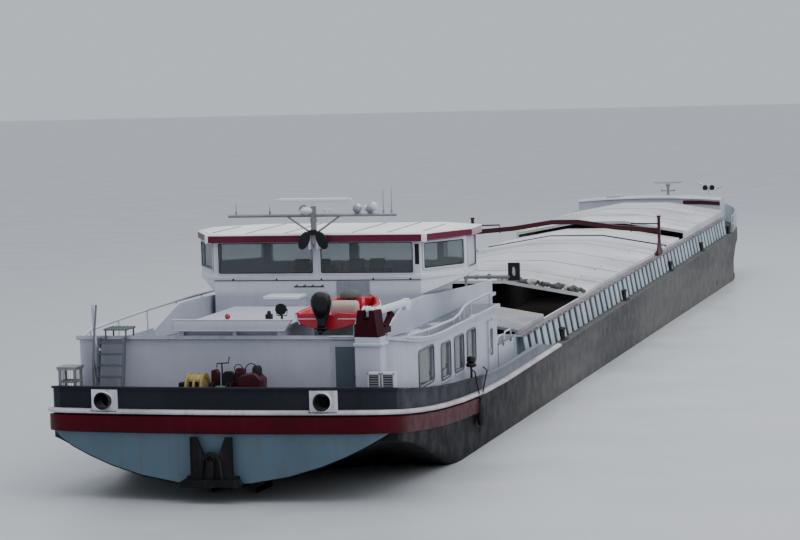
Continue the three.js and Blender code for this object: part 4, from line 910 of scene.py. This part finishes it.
# Roof: tube rails with posts as (x, z), locker lid, spotlight, lamp on the board
roofBits = {
    "starboardRail": ((4.4, 5.55), (6.6, 5.45), (9.8, 5.4), (10.6, 5.47), (11.2, 5.62), (12.2, 5.68),
                      (14.9, 5.68)),
    "portRail": ((2.5, 5.76), (3.0, 5.86), (5.2, 5.9), (7.6, 5.93), (10.2, 5.93), (12.6, 5.91), (14.9, 5.88)),
    "edge": (3.2, 4.2, 5.2, 6.2, 7.5, 9, 11, 13, 15.2), "lid": (7.47, 8.33, -0.23, 0.85, 6.22, 6.325),
    "skirt": (2.26, 2.3, -1.3, 1.62, 5.74, 5.98), "spotlight": (3.7, -0.86, 6.24), "board": (1.97, 6.04)}


def roofPieces(r):
    tubes, rack, spot, glassy, lamp = shapes(5)
    for side, name in ((1, "port"), (-1, "starboard")):
        wall, run = house[name] - 0.1, r[name + "Rail"]
        y = side * wall
        (x0, z0), (x1, z1) = run[0], run[-1]
        foot = [(x0 - 0.14, y, roofEdgeZ(x0) + 0.06), (x0 - 0.1, y, z0 - 0.03)]
        end = [(x1 + 0.12, y, z1 - 0.08), (x1 + 0.14, y, 5.3)]
        tubes.tube(foot + [(x, y, z) for x, z in run] + end, 0.04, 12)
        for x, z in run[1:]:
            tubes.rod((x, y, roofEdgeZ(x) + 0.05), (x, y, z), 0.025, sides=8)
        tubes.tube([(x, side * (wall + 0.2), roofEdgeZ(x) + 0.1) for x in r["edge"]], 0.03)
    tubes.make("roof_tube_rails", "trim", "white")
    Shape().box(*r["lid"]).make("roof_locker_lid", "white", "white", bevel=0.02)
    Shape().box(*r["skirt"]).make("platform_skirt", "white", "white")
    rack.rod((9.9, 0.62, 6.37), (9.9, -0.3, 6.37), 0.02, sides=8)
    for y in (0.6, 0.35, 0.1, -0.2):
        rack.rod((9.9, y, 6.37), (10.2, y, 6.4), 0.015, sides=6)
    rack.make("wheelhouse_wall_rack", "black", "rubber")
    x, y, z = r["spotlight"]
    profile = [(0.05, 0.22), (0.12, 0.18), (0.16, 0.02), (0.16, -0.02), (0.145, -0.02)]
    spot.turned((x, y + 0.03, z + 0.1), profile, "x")
    fork = ((0.19, 0.1), (0.17, -0.08), (-0.11, -0.08), (-0.13, 0.1))
    spot.tube([(x + 0.08, y + a, z + b) for a, b in fork], 0.015)
    spot.rod((x + 0.08, y + 0.03, 6.04), (x + 0.08, y + 0.03, z - 0.07), 0.03)
    spot.box(x - 0.2, x, y + 0.26, y + 0.42, 6.04, 6.22)
    spot.turned((x - 0.1, y + 0.34, 6.22), [(0.06, 0), (0.05, 0.08), (0, 0.1)], "z", 12)
    spot.make("roof_spotlight", "black", "rubber", bevel=0.006)
    glassy.turned((x, y + 0.03, z + 0.1), [(0, -0.016), (0.08, -0.014), (0.142, 0), (0.142, 0.01)], "x")
    glassy.make("spotlight_lens", "lens", "steel")
    profile = [(0.05, 0), (0.05, 0.03), (0.075, 0.04), (0.075, 0.1), (0.04, 0.15), (0, 0.155)]
    lamp.turned((2.04, 0.16, 6.24), profile, "z", 16).make("board_lamp", "lampRed", "red")
    x, z = r["board"]
    corners = [(x, 1.7, z + 0.2), (x, -1.64, z + 0.2), (x, -1.44, z - 0.1), (x, 1.7, z - 0.1)]
    Shape().tube(corners, 0.014, closed=True).make("board_rim", "white", "white")


roofPieces(roofBits)

# Winch bed: gearbox, housings, motor with its crank, and the wire on the drum
winch = {"gearbox": (0.54, 1.05), "redBox": (-1.07, -0.42), "column": (-0.45, -0.17), "bed": 4.0,
         "drumX": 1.2, "drumZ": 4.4, "coil": 0.15, "wire": 0.018, "turnSteps": 16, "steps": 160}


def winchPieces(d):
    yellow, slots, red, gray = shapes(4)
    bed, (a, b) = d["bed"], d["gearbox"]
    side = [(0.98, bed), (1.5, bed), (1.5, 4.66), (1.42, 4.82), (1.3, 4.87), (1.1, 4.87), (0.98, 4.76)]
    yellow.slab("y", side, a + 0.05, b - 0.02)
    for y in (a + 0.05, (a + b) / 2, b - 0.04):
        yellow.band((1.24, y, 4.46), 0.3, 0.45, 0.025, "y", 24)
    yellow.make("winch_gearbox", "yellow", "red", bevel=0.02)
    for y in (a + 0.14, a + 0.3):
        slots.box(0.965, 0.985, y, y + 0.1, 4.45, 4.7)
    slots.make("winch_gearbox_slots", "black", "rubber")
    a, b = d["redBox"]
    outline = [(a + 0.06, bed), (b, bed), (b, 4.72), (b - 0.06, 4.86), (a + 0.2, 4.93), (a, 4.74)]
    red.slab("x", outline, 0.95, 1.5)
    a, b = d["column"]
    red.slab("x", [(a, bed), (b, bed), (b, 4.9), (b - 0.05, 5.0), (a + 0.05, 5.0), (a, 4.9)], 1.45, 1.62)
    red.hoop((1.42, -0.3, 5.0), [(0.1, -0.02), (0.14, 0), (0.1, 0.02)], "x", 20)
    red.slab("x", [(0.3, bed), (0.52, bed), (0.5, 4.93), (0.36, 4.97), (0.28, 4.86)], 1.5, 1.66)
    red.make("winch_housings", "red", "red", bevel=0.02)
    gray.turned((1.25, -0.87, 4.86), [(0.13, 0), (0.13, 0.16), (0.09, 0.24), (0, 0.25)], "z", 20)
    gray.box(1.0, 1.3, 1.06, 1.25, 4.3, 4.66)
    outline = [(-0.15, bed), (0.19, bed), (0.19, 4.82), (0.12, 4.9), (-0.06, 4.9), (-0.15, 4.8)]
    gray.slab("x", outline, 1.5, 1.64)
    gray.rod((1.66, 0.24, bed), (1.66, 0.24, 5.12), 0.022, sides=8)
    gray.tube([(1.66, 0.38, 5.0), (1.66, 0.38, 5.1), (1.66, 0.05, 5.12), (1.66, 0.03, 5.28)], 0.018)
    loop = [(1.6, -0.6 + 0.16 * cos(t), 4.95 + 0.16 * sin(t)) for t in (pi * i / 8 for i in range(9))]
    gray.tube([(1.6, -0.44, 4.5)] + loop + [(1.6, -0.76, 4.5)], 0.014)
    gray.make("winch_motor_and_crank", "black", "gray", bevel=0.008)
    spiral = []
    for i in range(d["steps"]):
        t = 2 * pi * i / d["turnSteps"]
        y = -0.04 + 0.32 * i / (d["steps"] - 1)
        spiral.append((d["drumX"] + d["coil"] * cos(t), y, d["drumZ"] + d["coil"] * sin(t)))
    Shape().tube(spiral, d["wire"], 6).make("drum_wire", "gray", "steel", body="winch_drum")


winchPieces(winch)

# Aft wall: door frame as (y0, y1, low, high), air units' grilles, ladder's handrail and landing, locker's mesh
aftWall = {"door": (-3.42, -2.66, 3.84, 5.68), "unitFace": 1.072, "unitFoot": 3.92, "unitTall": 1.02,
           "unitSides": (-3.93, -4.31), "unitWidth": 0.34, "slats": 14, "treads": 7, "meshBars": 6}


def airUnits(d):
    grille, rims, fans = shapes(3)
    face, foot, tall = d["unitFace"], d["unitFoot"], d["unitTall"]
    for y1 in d["unitSides"]:
        y0 = y1 - d["unitWidth"]
        top, back, front = foot + tall, face - 0.025, face + 0.02
        rims.box(back, front, y0, y1, foot, foot + 0.05).box(back, front, y0, y1, top - 0.05, top)
        rims.box(back, front, y0, y0 + 0.04, foot, top).box(back, front, y1 - 0.04, y1, foot, top)
        for i in range(d["slats"]):
            z = foot + 0.09 + i * 0.064
            slat = ((-0.018, 0), (0.002, 0.035), (0.008, 0.03), (-0.01, -0.005))
            grille.slab("y", [(face + a, z + b) for a, b in slat], y0 + 0.045, y1 - 0.045)
        fans.box(face + 0.003, face + 0.01, y0 + 0.03, y1 - 0.03, foot + 0.04, foot + 0.98)
    grille.make("air_unit_slats", "grille", "gray")
    rims.make("air_unit_frames", "trim", "white", bevel=0.006)
    fans.make("air_unit_cores", "black", "rubber")


def aftWallPieces(d):
    rim, rails, landing, cage = shapes(4)
    x = house["aft"] - 0.008
    y0, y1, low, high = d["door"]
    for box in ((y0, y1, high, high + 0.08), (y0, y0 + 0.045, low, high), (y1 - 0.045, y1, low, high)):
        rim.box(x - 0.03, x + 0.02, *box)
    rim.box(x - 0.12, x, y0 - 0.05, y1 + 0.05, high + 0.08, high + 0.11)
    rim.make("aft_door_frame", "trim", "white", bevel=0.008)
    airUnits(d)
    rails.tube([(1.98, 3.98, 6.66), (1.98, 3.975, 6.3), (1.98, 3.96, 5.99), (1.97, 3.93, 5.75),
                (1.94, 3.87, 5.55), (1.9, 3.77, 5.41)], 0.035, 10)
    rails.make("ladder_handrail", "trim", "steel")
    landing.tube([(1.98, 3.98, 5.6), (1.88, 3.97, 5.2), (1.8, 3.88, 4.8), (1.76, 3.8, 4.35)], 0.03, 10)
    landing.box(1.95, 2.7, 3.02, 3.68, 5.95, 5.99)
    for i in range(d["treads"]):
        landing.box(1.95, 2.7, 3.03 + i * 0.102, 3.05 + i * 0.102, 5.985, 6.01)
    for y in (3.06, 3.64):
        landing.box(2.0, 2.04, y - 0.02, y + 0.02, 5.66, 5.96)
        landing.box(2.6, 2.64, y - 0.02, y + 0.02, 5.6, 5.96)
    landing.make("ladder_landing", "gray", "steel", bevel=0.004)
    for i in range(1, d["meshBars"] + 1):
        t = i * 0.5 / 7
        for z in (3.98, 4.35, 4.7):
            for x, y in ((0.955, 4.13 + t), (0.95 + t, 4.14), (0.95 + t, 4.62)):
                cage.rod((x, y, z), (x, y, z + 0.33), 0.008, sides=5)
    cage.box(0.91, 1.49, 4.09, 4.67, 5.055, 5.085)
    cage.make("locker_mesh", "steel", "steel")


aftWallPieces(aftWall)
print("aft deck ready")

# Dinghy: smooth shell, rubbing strips, seats and console, in place of the plain solid.
# Stations are (x, half width, height of the edge, keel).
dinghy = {"place": (2.6, -2.45, 5.86), "length": 3.6, "rings": 18, "wheel": (1.28, -0.26, 0.72),
          "stations": ((0, 0.88, 0.5, 0.02), (1.1, 0.94, 0.5, 0), (2.2, 0.9, 0.53, 0), (3.1, 0.62, 0.6, 0.06),
                       (3.6, 0.25, 0.66, 0.3))}


def dinghyStation(table, x):
    for (x0, *a), (x1, *b) in zip(table, table[1:]):
        if x <= x1 + 1e-9:
            t = (x - x0) / (x1 - x0)
            return [p + (q - p) * t for p, q in zip(a, b)]


def dinghyPieces(d):
    shell, strips, seat, top, wheel = shapes(5, Matrix.Translation(d["place"]))
    rings, edge = [], []
    for i in range(d["rings"] + 1):
        x = d["length"] * i / d["rings"]
        half, rise, keel = dinghyStation(d["stations"], x)
        port = [(0, keel), (half * 0.3, keel + 0.03), (half * 0.62, keel + 0.1), (half * 0.86, rise * 0.42),
                (half, rise * 0.7), (half * 1.02, rise * 0.93), (half, rise), (half * 0.9, rise + 0.004),
                (half * 0.86, rise * 0.95), (half * 0.8, rise * 0.7), (half * 0.5, keel + 0.17),
                (0, keel + 0.13)]
        rings.append([(x, y, z) for y, z in port + [(-y, z) for y, z in reversed(port[1:-1])]])
        edge.append((x, half * 1.02, rise * 0.9))
    shell.rings(rings)
    half, rise, keel = dinghyStation(d["stations"], 0)
    stern = [(-half * 0.99, rise * 0.93), (-half * 0.98, rise * 0.7), (-half * 0.84, rise * 0.42),
             (-half * 0.6, keel + 0.1), (-half * 0.3, keel + 0.035), (0, keel + 0.005)]
    notch = [(0.3, 0.5), (0.24, 0.44), (-0.24, 0.44), (-0.3, 0.5)]
    shell.slab("x", stern + [(-y, z) for y, z in reversed(stern[:-1])] + notch, -0.012, 0.07)
    shell.slab("x", [(-0.38, 0.4), (0.38, 0.4), (0.42, 0.6), (-0.42, 0.6)], 3.05, 3.4)
    shell.box(0.7, 0.95, -0.82, 0.82, 0.3, 0.36).box(1.35, 1.65, -0.62, 0.1, 0.12, 0.78)
    boat = shell.make("dinghy_hull", "dinghyRed", "red", bevel=0.012)
    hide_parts("dinghy")
    for side in (1, -1):
        strips.tube([(x, side * y, z) for x, y, z in edge], 0.024)
        strips.rod((-0.014, side * 0.3, 0.33), (-0.014, side * 0.84, 0.33), 0.012, sides=8)
        corner = ((0.86, 0.46), (0.84, 0.32), (0.76, 0.19))
        strips.tube([(-0.014, side * y, z) for y, z in corner], 0.02)
    strips.make("dinghy_strips", "white", "white")
    back = [(0.78, 0.36), (1.12, 0.36), (1.1, 0.6), (1.02, 0.72), (0.86, 0.74), (0.76, 0.62)]
    rings = []
    for i in range(9):
        size = (0.94 if i in (0, 8) else 1) + 0.02 * sin(pi * i / 8)  # fuller in the middle
        y = -0.62 + 0.74 * i / 8
        rings.append([(0.94 + (a - 0.94) * size, y, 0.5 + (b - 0.5) * size) for a, b in back])
    seat.rings(rings)
    padded = seat.make("dinghy_seat", "beige", "white", bevel=0.03, angle=60)
    top.turned((1.5, -0.26, 0.78), [(0.3, 0), (0.3, 0.05), (0.26, 0.12), (0.16, 0.18), (0, 0.2)])
    top.make("dinghy_console_top", "coverGray", "gray")
    wheel.hoop(d["wheel"], [(0.13, -0.012), (0.155, 0), (0.13, 0.012)], "x")
    wheel.rod(d["wheel"], (1.36, -0.26, 0.7), 0.03, sides=10)
    wheel.make("dinghy_wheel", "black", "rubber")


dinghyPieces(dinghy)

# Outboard: a smooth cowl with a light line along it as a painted highlight, in place of the plain solid.
# Rings are (height, half x, half y, shift).
motor = {"place": (2.48, -2.41, 5.86), "roundness": 2.6, "sides": 28,
         "cowl": ((0.28, 0.08, 0.1, -0.2), (0.34, 0.13, 0.15, -0.21), (0.46, 0.16, 0.19, -0.23),
                  (0.6, 0.19, 0.24, -0.26), (0.75, 0.215, 0.28, -0.27), (0.88, 0.215, 0.285, -0.27),
                  (0.98, 0.19, 0.25, -0.26), (1.06, 0.14, 0.18, -0.25), (1.1, 0.07, 0.09, -0.24),
                  (1.115, 0.01, 0.01, -0.24))}


def outboardPieces(m):
    cowl, line = shapes(2, Matrix.Translation(m["place"]))
    power = m["roundness"]
    full = [(c, s, (abs(c) ** power + abs(s) ** power) ** (-1 / power)) for c, s in circle(m["sides"])]
    cowl.rings([[(shift + rx * c * k, ry * s * k, h) for c, s, k in full] for h, rx, ry, shift in m["cowl"]])
    leg = [(-0.11, 0.05), (0.11, 0.05), (0.1, 0.3), (0.16, 0.55), (-0.16, 0.55), (-0.1, 0.3)]
    cowl.slab("x", leg, -0.36, -0.12)
    cowl.box(-0.46, -0.1, -0.16, 0.16, 0.12, 0.15)
    cowl.rod((-0.44, 0, 0.03), (-0.1, 0, 0.03), 0.07, 0.03, 16)
    cowl.rod((0, 0, 0.343), (0, 0, 0.457), 0.045)
    cowl.box(-0.14, 0, -0.03, 0.03, 0.36, 0.44)
    piece = cowl.make("outboard_motor", "cowl", "rubber", body="outboard", bevel=0.006, angle=50)
    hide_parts("outboard")
    # a light steel line over the cowl's shoulder stands for its highlight: painted highlight
    bend = [(-0.36, -0.27, 0.62), (-0.32, -0.3, 0.78), (-0.3, -0.27, 0.94), (-0.3, -0.14, 1.06),
            (-0.3, 0, 1.105)]
    line.tube(bend, 0.014)
    line.make("cowl_highlight", "steel", "steel", body="outboard")


outboardPieces(motor)

# Crane: edges on the pillar, ledge of its column, sheaves and tube of the boom, collars on the cylinder
crane = {"x": 1.8, "y": -3.84, "foot": 5.82, "heading": -0.19, "boomTilt": -0.03, "boomPin": (0.05, 0, 0.6),
         "barrelFoot": (0.85, 0, 0.08), "barrelTop": (1.45, 0, 0.57), "collars": ((0.1, 0.105), (0.72, 0.108))}


def cranePieces(c):
    x, y, z = c["x"], c["y"], c["foot"]
    base = Matrix.Translation((x, y, z)) @ Matrix.Rotation(c["heading"], 4, "Z")
    post, barrel = shapes(2, base)
    post.box(-0.26, 0.24, -0.35, 0.35, 0.003, 0.045)
    for s in (1, -1):
        post.slab("x", [(s * 0.33, 0.03), (s * 0.3, 0.03), (s * 0.215, 0.7), (s * 0.245, 0.7)], -0.25, 0.23)
    post.make("crane_pillar_edges", "maroon", "red", body="crane_base", bevel=0.01)
    ledge = Shape().box(x - 0.36, x + 0.36, y - 0.42, y + 0.38, z - 0.24, z - 0.15)
    ledge.make("crane_column_ledge", "white", "white", bevel=0.02)
    boom = Shape(base @ Matrix.Translation(c["boomPin"]) @ Matrix.Rotation(c["boomTilt"], 4, "Y"))
    for y, r in ((-0.12, 0.16), (0.14, 0.18)):
        boom.turned((-0.02, y, 0.02), [(0.04, -0.04), (r, -0.03), (r - 0.03, 0), (r, 0.03), (0.04, 0.04)], "y")
    boom.turned((-0.16, -0.04, 0.12), [(0, -0.07), (0.1, -0.05), (0.08, 0), (0.1, 0.05), (0, 0.07)], "y", 20)
    boom.rod((0.1, 0, 0), (2.2, 0, 0), 0.098, 0.09, 20)
    boom.turned((2.3, 0, -0.05), [(0, -0.09), (0.11, -0.08), (0.08, 0), (0.11, 0.08), (0, 0.09)], "y", 20)
    boom.make("crane_boom_tube", "white", "white", body="crane_boom", bevel=0.008)
    foot, reach = Vector(c["barrelFoot"]), Vector(c["barrelTop"]) - Vector(c["barrelFoot"])
    for share, r in c["collars"]:
        a = foot + reach * share
        barrel.rod(a, a + reach.normalized() * 0.05, r, sides=20)
    barrel.make("cylinder_collars", "black", "rubber", body="crane_barrel", bevel=0.006)


cranePieces(crane)
print("roof ready")

# Recess beside the casing: rails over the deck locker, the bulwark's lamp, the side door's rail
recess = {"railSides": (-4.28, -3.75), "rails": ((15.75, 16.7, 4.18), (16.85, 17.9, 4.22)),
          "lamp": (10.4, -4.62, 3.98), "door": (13.95, 14.72)}


def recessPieces(d):
    rails, lid, light, rim = shapes(4)
    for y in d["railSides"]:
        for x0, x1, z in d["rails"]:
            run = ((x0, 3.95), (x0, z - 0.1), (x0 + 0.12, z), (x1 - 0.12, z), (x1, z - 0.1), (x1, 3.95))
            rails.tube([(x, y, height) for x, height in run], 0.028, 10)
    rails.make("deck_locker_rails", "trim", "white")
    lid.box(15.64, 17.98, -4.37, -3.34, 3.955, 3.99)
    for x in (16.2, 17.4):
        lid.box(x, x + 0.1, -4.4, -4.37, 3.86, 3.99)
    lid.make("deck_locker_lid", "gray", "gray", bevel=0.01)
    x, y, z = d["lamp"]
    light.turned((x, y, z), [(0.05, -0.08), (0.15, -0.05), (0.16, 0.02), (0.1, 0.08), (0.05, 0.1)], "z", 20)
    light.turned((x, y, z + 0.1), [(0.12, 0), (0.14, 0.02), (0.12, 0.14), (0, 0.16)], "z", 20)
    light.rod((x, y, 3.3), (x, y, z - 0.05), 0.035, sides=10)
    light.make("deck_lamp", "black", "rubber")
    (x0, x1), y = d["door"], -house["starboard"]
    posts = ((x0 - 0.05, x0, 3.02, 4.9), (x1, x1 + 0.05, 3.02, 4.9), (x0 - 0.05, x1 + 0.75, 4.86, 4.93))
    for a, b, low, high in posts:
        rim.box(a, b, y - 0.012, y + 0.01, low, high)
    rim.make("side_door_rail", "trim", "white", bevel=0.004)


recessPieces(recess)

# Signal board: dark face, a lamp, and the clamps on its arm
signal = {"place": (16.3, -3.2, 5.986), "board": (-0.05, 0.05, -1.76, -1.38, -0.05, 0.52),
          "clamps": (-0.35, -0.75)}


def signalPieces(d):
    board, lamp, clamp = shapes(3, Matrix.Translation(d["place"]))
    board.box(*d["board"]).make("signal_board", "black", "rubber", body="signal_arm", bevel=0.012)
    outline = [(-1.62, 0.12), (-1.56, 0.1), (-1.52, 0.2), (-1.53, 0.36), (-1.58, 0.4), (-1.62, 0.3)]
    lamp.slab("x", outline, -0.062, -0.05)
    lamp.make("signal_lamp", "lens", "steel", body="signal_arm")
    for y in d["clamps"]:
        clamp.band((0, y, 0.07), 0.06, 0.082, 0.05, "y")
    clamp.box(-0.07, 0.07, -0.8, -0.72, 0, 0.17)
    clamp.make("signal_arm_clamps", "steel", "steel", body="signal_arm", bevel=0.005)


signalPieces(signal)

# Hatch covers: ribs across, end strips, lifting eyes, and a black strip at the start of the cover of that
# number, painted shade for the gap there
covers = {"starts": (19.5, 31.5, 36.05, 40.6, 45.15, 49.7, 54.25, 60.85, 65.9, 70.95), "length": 4.55,
          "half": 4.2, "edge": 3.993, "flat": 1.25, "rise": 0.5, "ribs": 23, "ribWidth": 0.1,
          "ribHeight": 0.022, "stackedFrom": 60, "stackRise": 0.19, "stackedLength": 5.05, "eyes": 3.3,
          "gapShadeCover": 7}


def coverDetails(c):
    half, flat, rise, w, h = c["half"], c["flat"], c["rise"], c["ribWidth"], c["ribHeight"]
    for number, start in enumerate(c["starts"], 1):
        ribs, ends = shapes(2)
        stacked = start > c["stackedFrom"]
        edge = c["edge"] + (c["stackRise"] if stacked else 0)
        end = start + (c["stackedLength"] if stacked else c["length"])
        roofLine = [(0.01 - half, edge), (-flat, edge + rise), (flat, edge + rise), (half - 0.01, edge)]
        for i in range(c["ribs"]):
            x = start + 0.14 + i * (end - start - 0.38) / (c["ribs"] - 1)
            ribs.strip(roofLine, [(x, -0.01), (x + 0.02, h), (x + w - 0.02, h), (x + w, -0.01)])
        ribs.make(f"cover_{number}_ribs", "aluminum", "cover")
        for x in (start + 0.005, end - 0.07):
            ends.strip(roofLine, [(x, -0.02), (x, 0.045), (x + 0.055, 0.045), (x + 0.055, -0.02)])
        for s in (1, -1):
            if stacked:
                y = s * half
                ends.box(start + 0.02, end - 0.03, y - 0.004, y + 0.004, edge - 0.185, edge - 0.16)
            y, z = s * c["eyes"], edge + rise * (half - c["eyes"]) / (half - flat)
            for x in (start + 0.7, end - 0.8):
                ends.tube([(x, y, z), (x, y, z + 0.09), (x + 0.12, y, z + 0.09), (x + 0.12, y, z)], 0.014)
        ends.make(f"cover_{number}_end_strips", "coverEdge", "cover")
    # a black rubber strip across the joint stands for the shadowed gap between the covers: painted shade
    x, half, edge = c["starts"][c["gapShadeCover"] - 1], half + 0.01, c["edge"]
    roofLine = [(-half, edge), (-0.297 * half, edge + rise), (0.297 * half, edge + rise), (half, edge)]
    gapShade = Shape().strip(roofLine, [(x - 0.11, -0.02), (x - 0.09, 0.06), (x + 0.09, 0.06), (x + 0.11, -0.02)])
    gapShade.make("cover_seal", "rubber", "rubber")


coverDetails(covers)

# Coaming: ledge along the top, stiffeners with their flanges, locks on the ledge
coaming = {"half": 4.13, "ledge": 4.38, "top": 3.85, "foot": 2.95, "aft": 19.42, "fore": 76.08, "pitch": 1.1,
           "lock": 4.41}


def coamingDetails(c):
    ledge, ribs, lugs = shapes(3)
    half, top, foot, out, y = c["half"], c["top"], c["foot"] + 0.02, c["ledge"], c["lock"]
    for s in (1, -1):
        section = [(out - 0.24, 0.002), (out + 0.015, 0.002), (out + 0.015, -0.085), (out + 0.002, -0.085),
                   (out + 0.002, -0.012), (out - 0.24, -0.012)]
        ledge.slab("x", [(s * a, top + b) for a, b in section], c["aft"], c["fore"])
        x = c["aft"] + 0.38
        while x < c["fore"] - 0.3:
            face = ((-0.01, foot), (0.33, foot), (0.19, top - 0.08), (-0.01, top - 0.08))
            ribs.slab("x", [(s * (half + a), z) for a, z in face], x - 0.012, x + 0.102)
            flange = ((x - 0.24, 0.34), (x + 0.38, 0.34), (x + 0.38, 0.37), (x - 0.24, 0.37))
            ribs.rings([[(a, s * (half + b - lean), z) for a, b in flange]
                        for lean, z in ((0, foot), (0.14, top - 0.1))])
            # below the ledge's top, out of the way of the gantry's wheels
            lugs.box(x + 0.88, x + 1.02, s * y - 0.022, s * y + 0.022, top - 0.09, top - 0.004)
            x += c["pitch"]
    ledge.make("coaming_ledge", "ledge", "blue")
    ribs.make("coaming_stiffeners", "stiffener", "blue")
    lugs.make("cover_locks", "steel", "steel")


coamingDetails(coaming)
print("covers ready")

# Gantry: guard frame, cross ties and wheel guards ride on the travelling gantry
gantry = {"x": 51.35, "leg": 4.31, "wheels": 0.6, "ties": (0, 0.18),
          "arch": ((-4.3, 4.84), (-2.4, 4.995), (-0.6, 5.265), (0.6, 5.265), (2.4, 4.995), (4.3, 4.84))}


def gantryPieces(d):
    guard = Shape(Matrix.Translation((d["x"], 0, 0)))
    for s in (1, -1):
        y = s * d["leg"]
        guard.tube([(0, s * 3.04, 4.9), (0, s * 3.04, 5.27), (0, s * 4.25, 5.25)], 0.035)
        guard.rod((0, s * 3.2, 5.0), (0, s * 4.25, 5.0), 0.025, sides=8)
        guard.box(-0.76, 0.76, y - 0.07, y + 0.07, 3.9, 3.96)
        guard.tube([(-0.66, y, 4.05), (0, y, 4.75), (0.66, y, 4.05)], 0.035)
        for x in (-d["wheels"], d["wheels"]):
            guard.band((x, y, 3.964), 0.09, 0.12, 0.05, "y")
        guard.turned((0, y, 5.56), [(0.09, 0), (0.11, 0.02), (0.11, 0.05), (0.05, 0.07), (0, 0.07)], "z", 16)
    for low in d["ties"]:
        guard.strip(d["arch"], [(-0.11, low), (-0.11, low + 0.03), (0.11, low + 0.03), (0.11, low)])
    guard.make("gantry_guard", "red", "red", body="gantry", bevel=0.006)


gantryPieces(gantry)

# Fore end: lights, spotlights and horns, scanner, trim of the cabin, rails, anchors and the bulwark's cap
fore = {"mastX": 80.4, "mastY": -0.64, "bar": 5.1, "scanner": 5.585, "lampX": 79.85, "lampPostY": -3.0,
        "railX": (76.4, 77.2, 78.0, 78.8, 79.5), "railHeights": (0.45, 0.9), "capLift": 0.965,
        "capX": (79.6, 80.5, 82, 83.2, 84.2, 84.8, 85), "eaveHalf": 3.97, "eaveSteps": 12}


def forePieces(f):
    black, white, steel, trim, eave, box, rail, anchors = shapes(8)
    x, y = f["mastX"], f["mastY"]
    for side in (-0.38, 0.38):
        white.ball((x, y + side, f["bar"] + 0.06), 0.05, 1, 12)
    profile = [(0.07, 0), (0.09, 0.03), (0.09, 0.12), (0.06, 0.15), (0, 0.155)]
    white.turned((x, y, f["bar"] + 0.2), profile, "z", 16)
    white.make("fore_mast_lights", "white", "white", body="fore_mast")
    px, py = f["lampX"], f["lampPostY"]
    for side in (0.18, -0.2):
        profile = [(0.04, 0.16), (0.1, 0.12), (0.15, -0.04), (0.13, -0.06), (0, -0.03)]
        black.turned((px, py + side, 5.27), profile, "x", 20)
    steel.rod((px + 0.06, py, 4.86), (px + 0.06, py, 5.3), 0.03, sides=10)
    bracket = ((0.45, 5.45), (0.3, 5.14), (-0.4, 5.14), (-0.62, 5.28))
    steel.tube([(px + 0.06, py + side, z) for side, z in bracket], 0.022)
    for side, z, lean in ((0.45, 5.5, 0.12), (-0.66, 5.32, -0.16)):
        mouth = (px - 0.02, py + side + lean, z + 0.05)
        steel.rod((px, py + side - lean, z - 0.07), mouth, 0.035, 0.075, 14)
    black.make("fore_spotlights", "black", "rubber")
    steel.make("fore_horns", "trim", "white")
    scannerCover("fore_scanner_cover", "fore_scanner", (x, y, f["scanner"]), 0.82, 10, 0.07, 0.045)
    trim.strip([(-1.9, 4.72), (-2.9, 4.7), (-3.93, 4.62)], [(77.27, -0.2), (77.27, 0), (77.3, 0), (77.3, -0.2)])
    trim.make("fore_cabin_strip", "red", "red")
    sides = [f["eaveHalf"] * (1 - 2 * i / f["eaveSteps"]) for i in range(f["eaveSteps"] + 1)]
    arch = [(a, 4.78 + 0.15 * (1 - (a / 3.95) ** 2)) for a in sides]
    eave.strip(arch, [(77.22, -0.07), (77.22, 0.012), (77.36, 0.02), (77.36, -0.07)])
    eave.make("fore_cabin_eave", "roof", "white")
    box.slab("x", [(1.56, 4.86), (2.42, 4.8), (2.42, 5.0), (2.36, 5.04), (1.6, 5.06), (1.56, 5.02)], 77.5, 78.2)
    box.make("fore_roof_box", "white", "white", bevel=0.02)
    for s in (1, -1):
        line = [(a, s * (deckHalf(a) - 0.12), deckZ(a)) for a in f["railX"]]
        for lift in f["railHeights"]:
            rail.tube([(a, b, c + lift) for a, b, c in line], 0.02)
        for a, b, c in line:
            rail.rod((a, b, c), (a, b, c + 0.9), 0.02, sides=8)
        anchors.rod((84.6, s * 0.9, 3.2), (84.62, s * 1.55, 2.5), 0.1, 0.08)
        anchors.slab("z", [(84.3, s * 1.5), (84.75, s * 1.3), (84.85, s * 1.9), (84.45, s * 2.15)], 2.1, 2.5)
    rail.make("fore_rails", "trim", "white")
    anchors.make("bow_anchors", "black", "hullBlack", bevel=0.01)
    port = [(a, deckHalf(a) - 0.07, deckZ(a) + f["capLift"]) for a in f["capX"]]
    line = port + [(hull["length"], 0, port[-1][2])] + [(a, -b, c) for a, b, c in reversed(port)]
    Shape().tube(line, 0.05, 10).make("bow_bulwark_cap", "white", "white")


forePieces(fore)

# Rolled tarpaulin and dunnage along the open edge of the second cover
edgeLoad = {"seed": 4, "from": -1.0, "to": -4.05, "tarpaulin": 0.72, "thickness": (0.05, 0.11),
            "pitch": (0.1, 0.2)}


def coverEdgeLoad(d):
    rng = random.Random(d["seed"])
    roll, wood = shapes(2)
    y = d["from"]
    while y > d["to"]:
        z = 4.02 + 0.5 * max(0.0, min(1.0, (4.2 - abs(y)) / 2.95))
        points = [(31.56 + rng.uniform(0, 0.2), y, z + rng.uniform(0.02, 0.08)),
                  (31.62 + rng.uniform(0, 0.25), y - 0.14, z + rng.uniform(0.06, 0.16)),
                  (31.6 + rng.uniform(0, 0.2), y - 0.3, z + rng.uniform(0.02, 0.08))]
        (roll if rng.random() < d["tarpaulin"] else wood).tube(points, rng.uniform(*d["thickness"]))
        y -= rng.uniform(*d["pitch"])
    roll.make("rolled_tarpaulin", "coverGray", "gray")
    wood.make("dunnage", "beige", "white")


coverEdgeLoad(edgeLoad)
print("fore part ready")
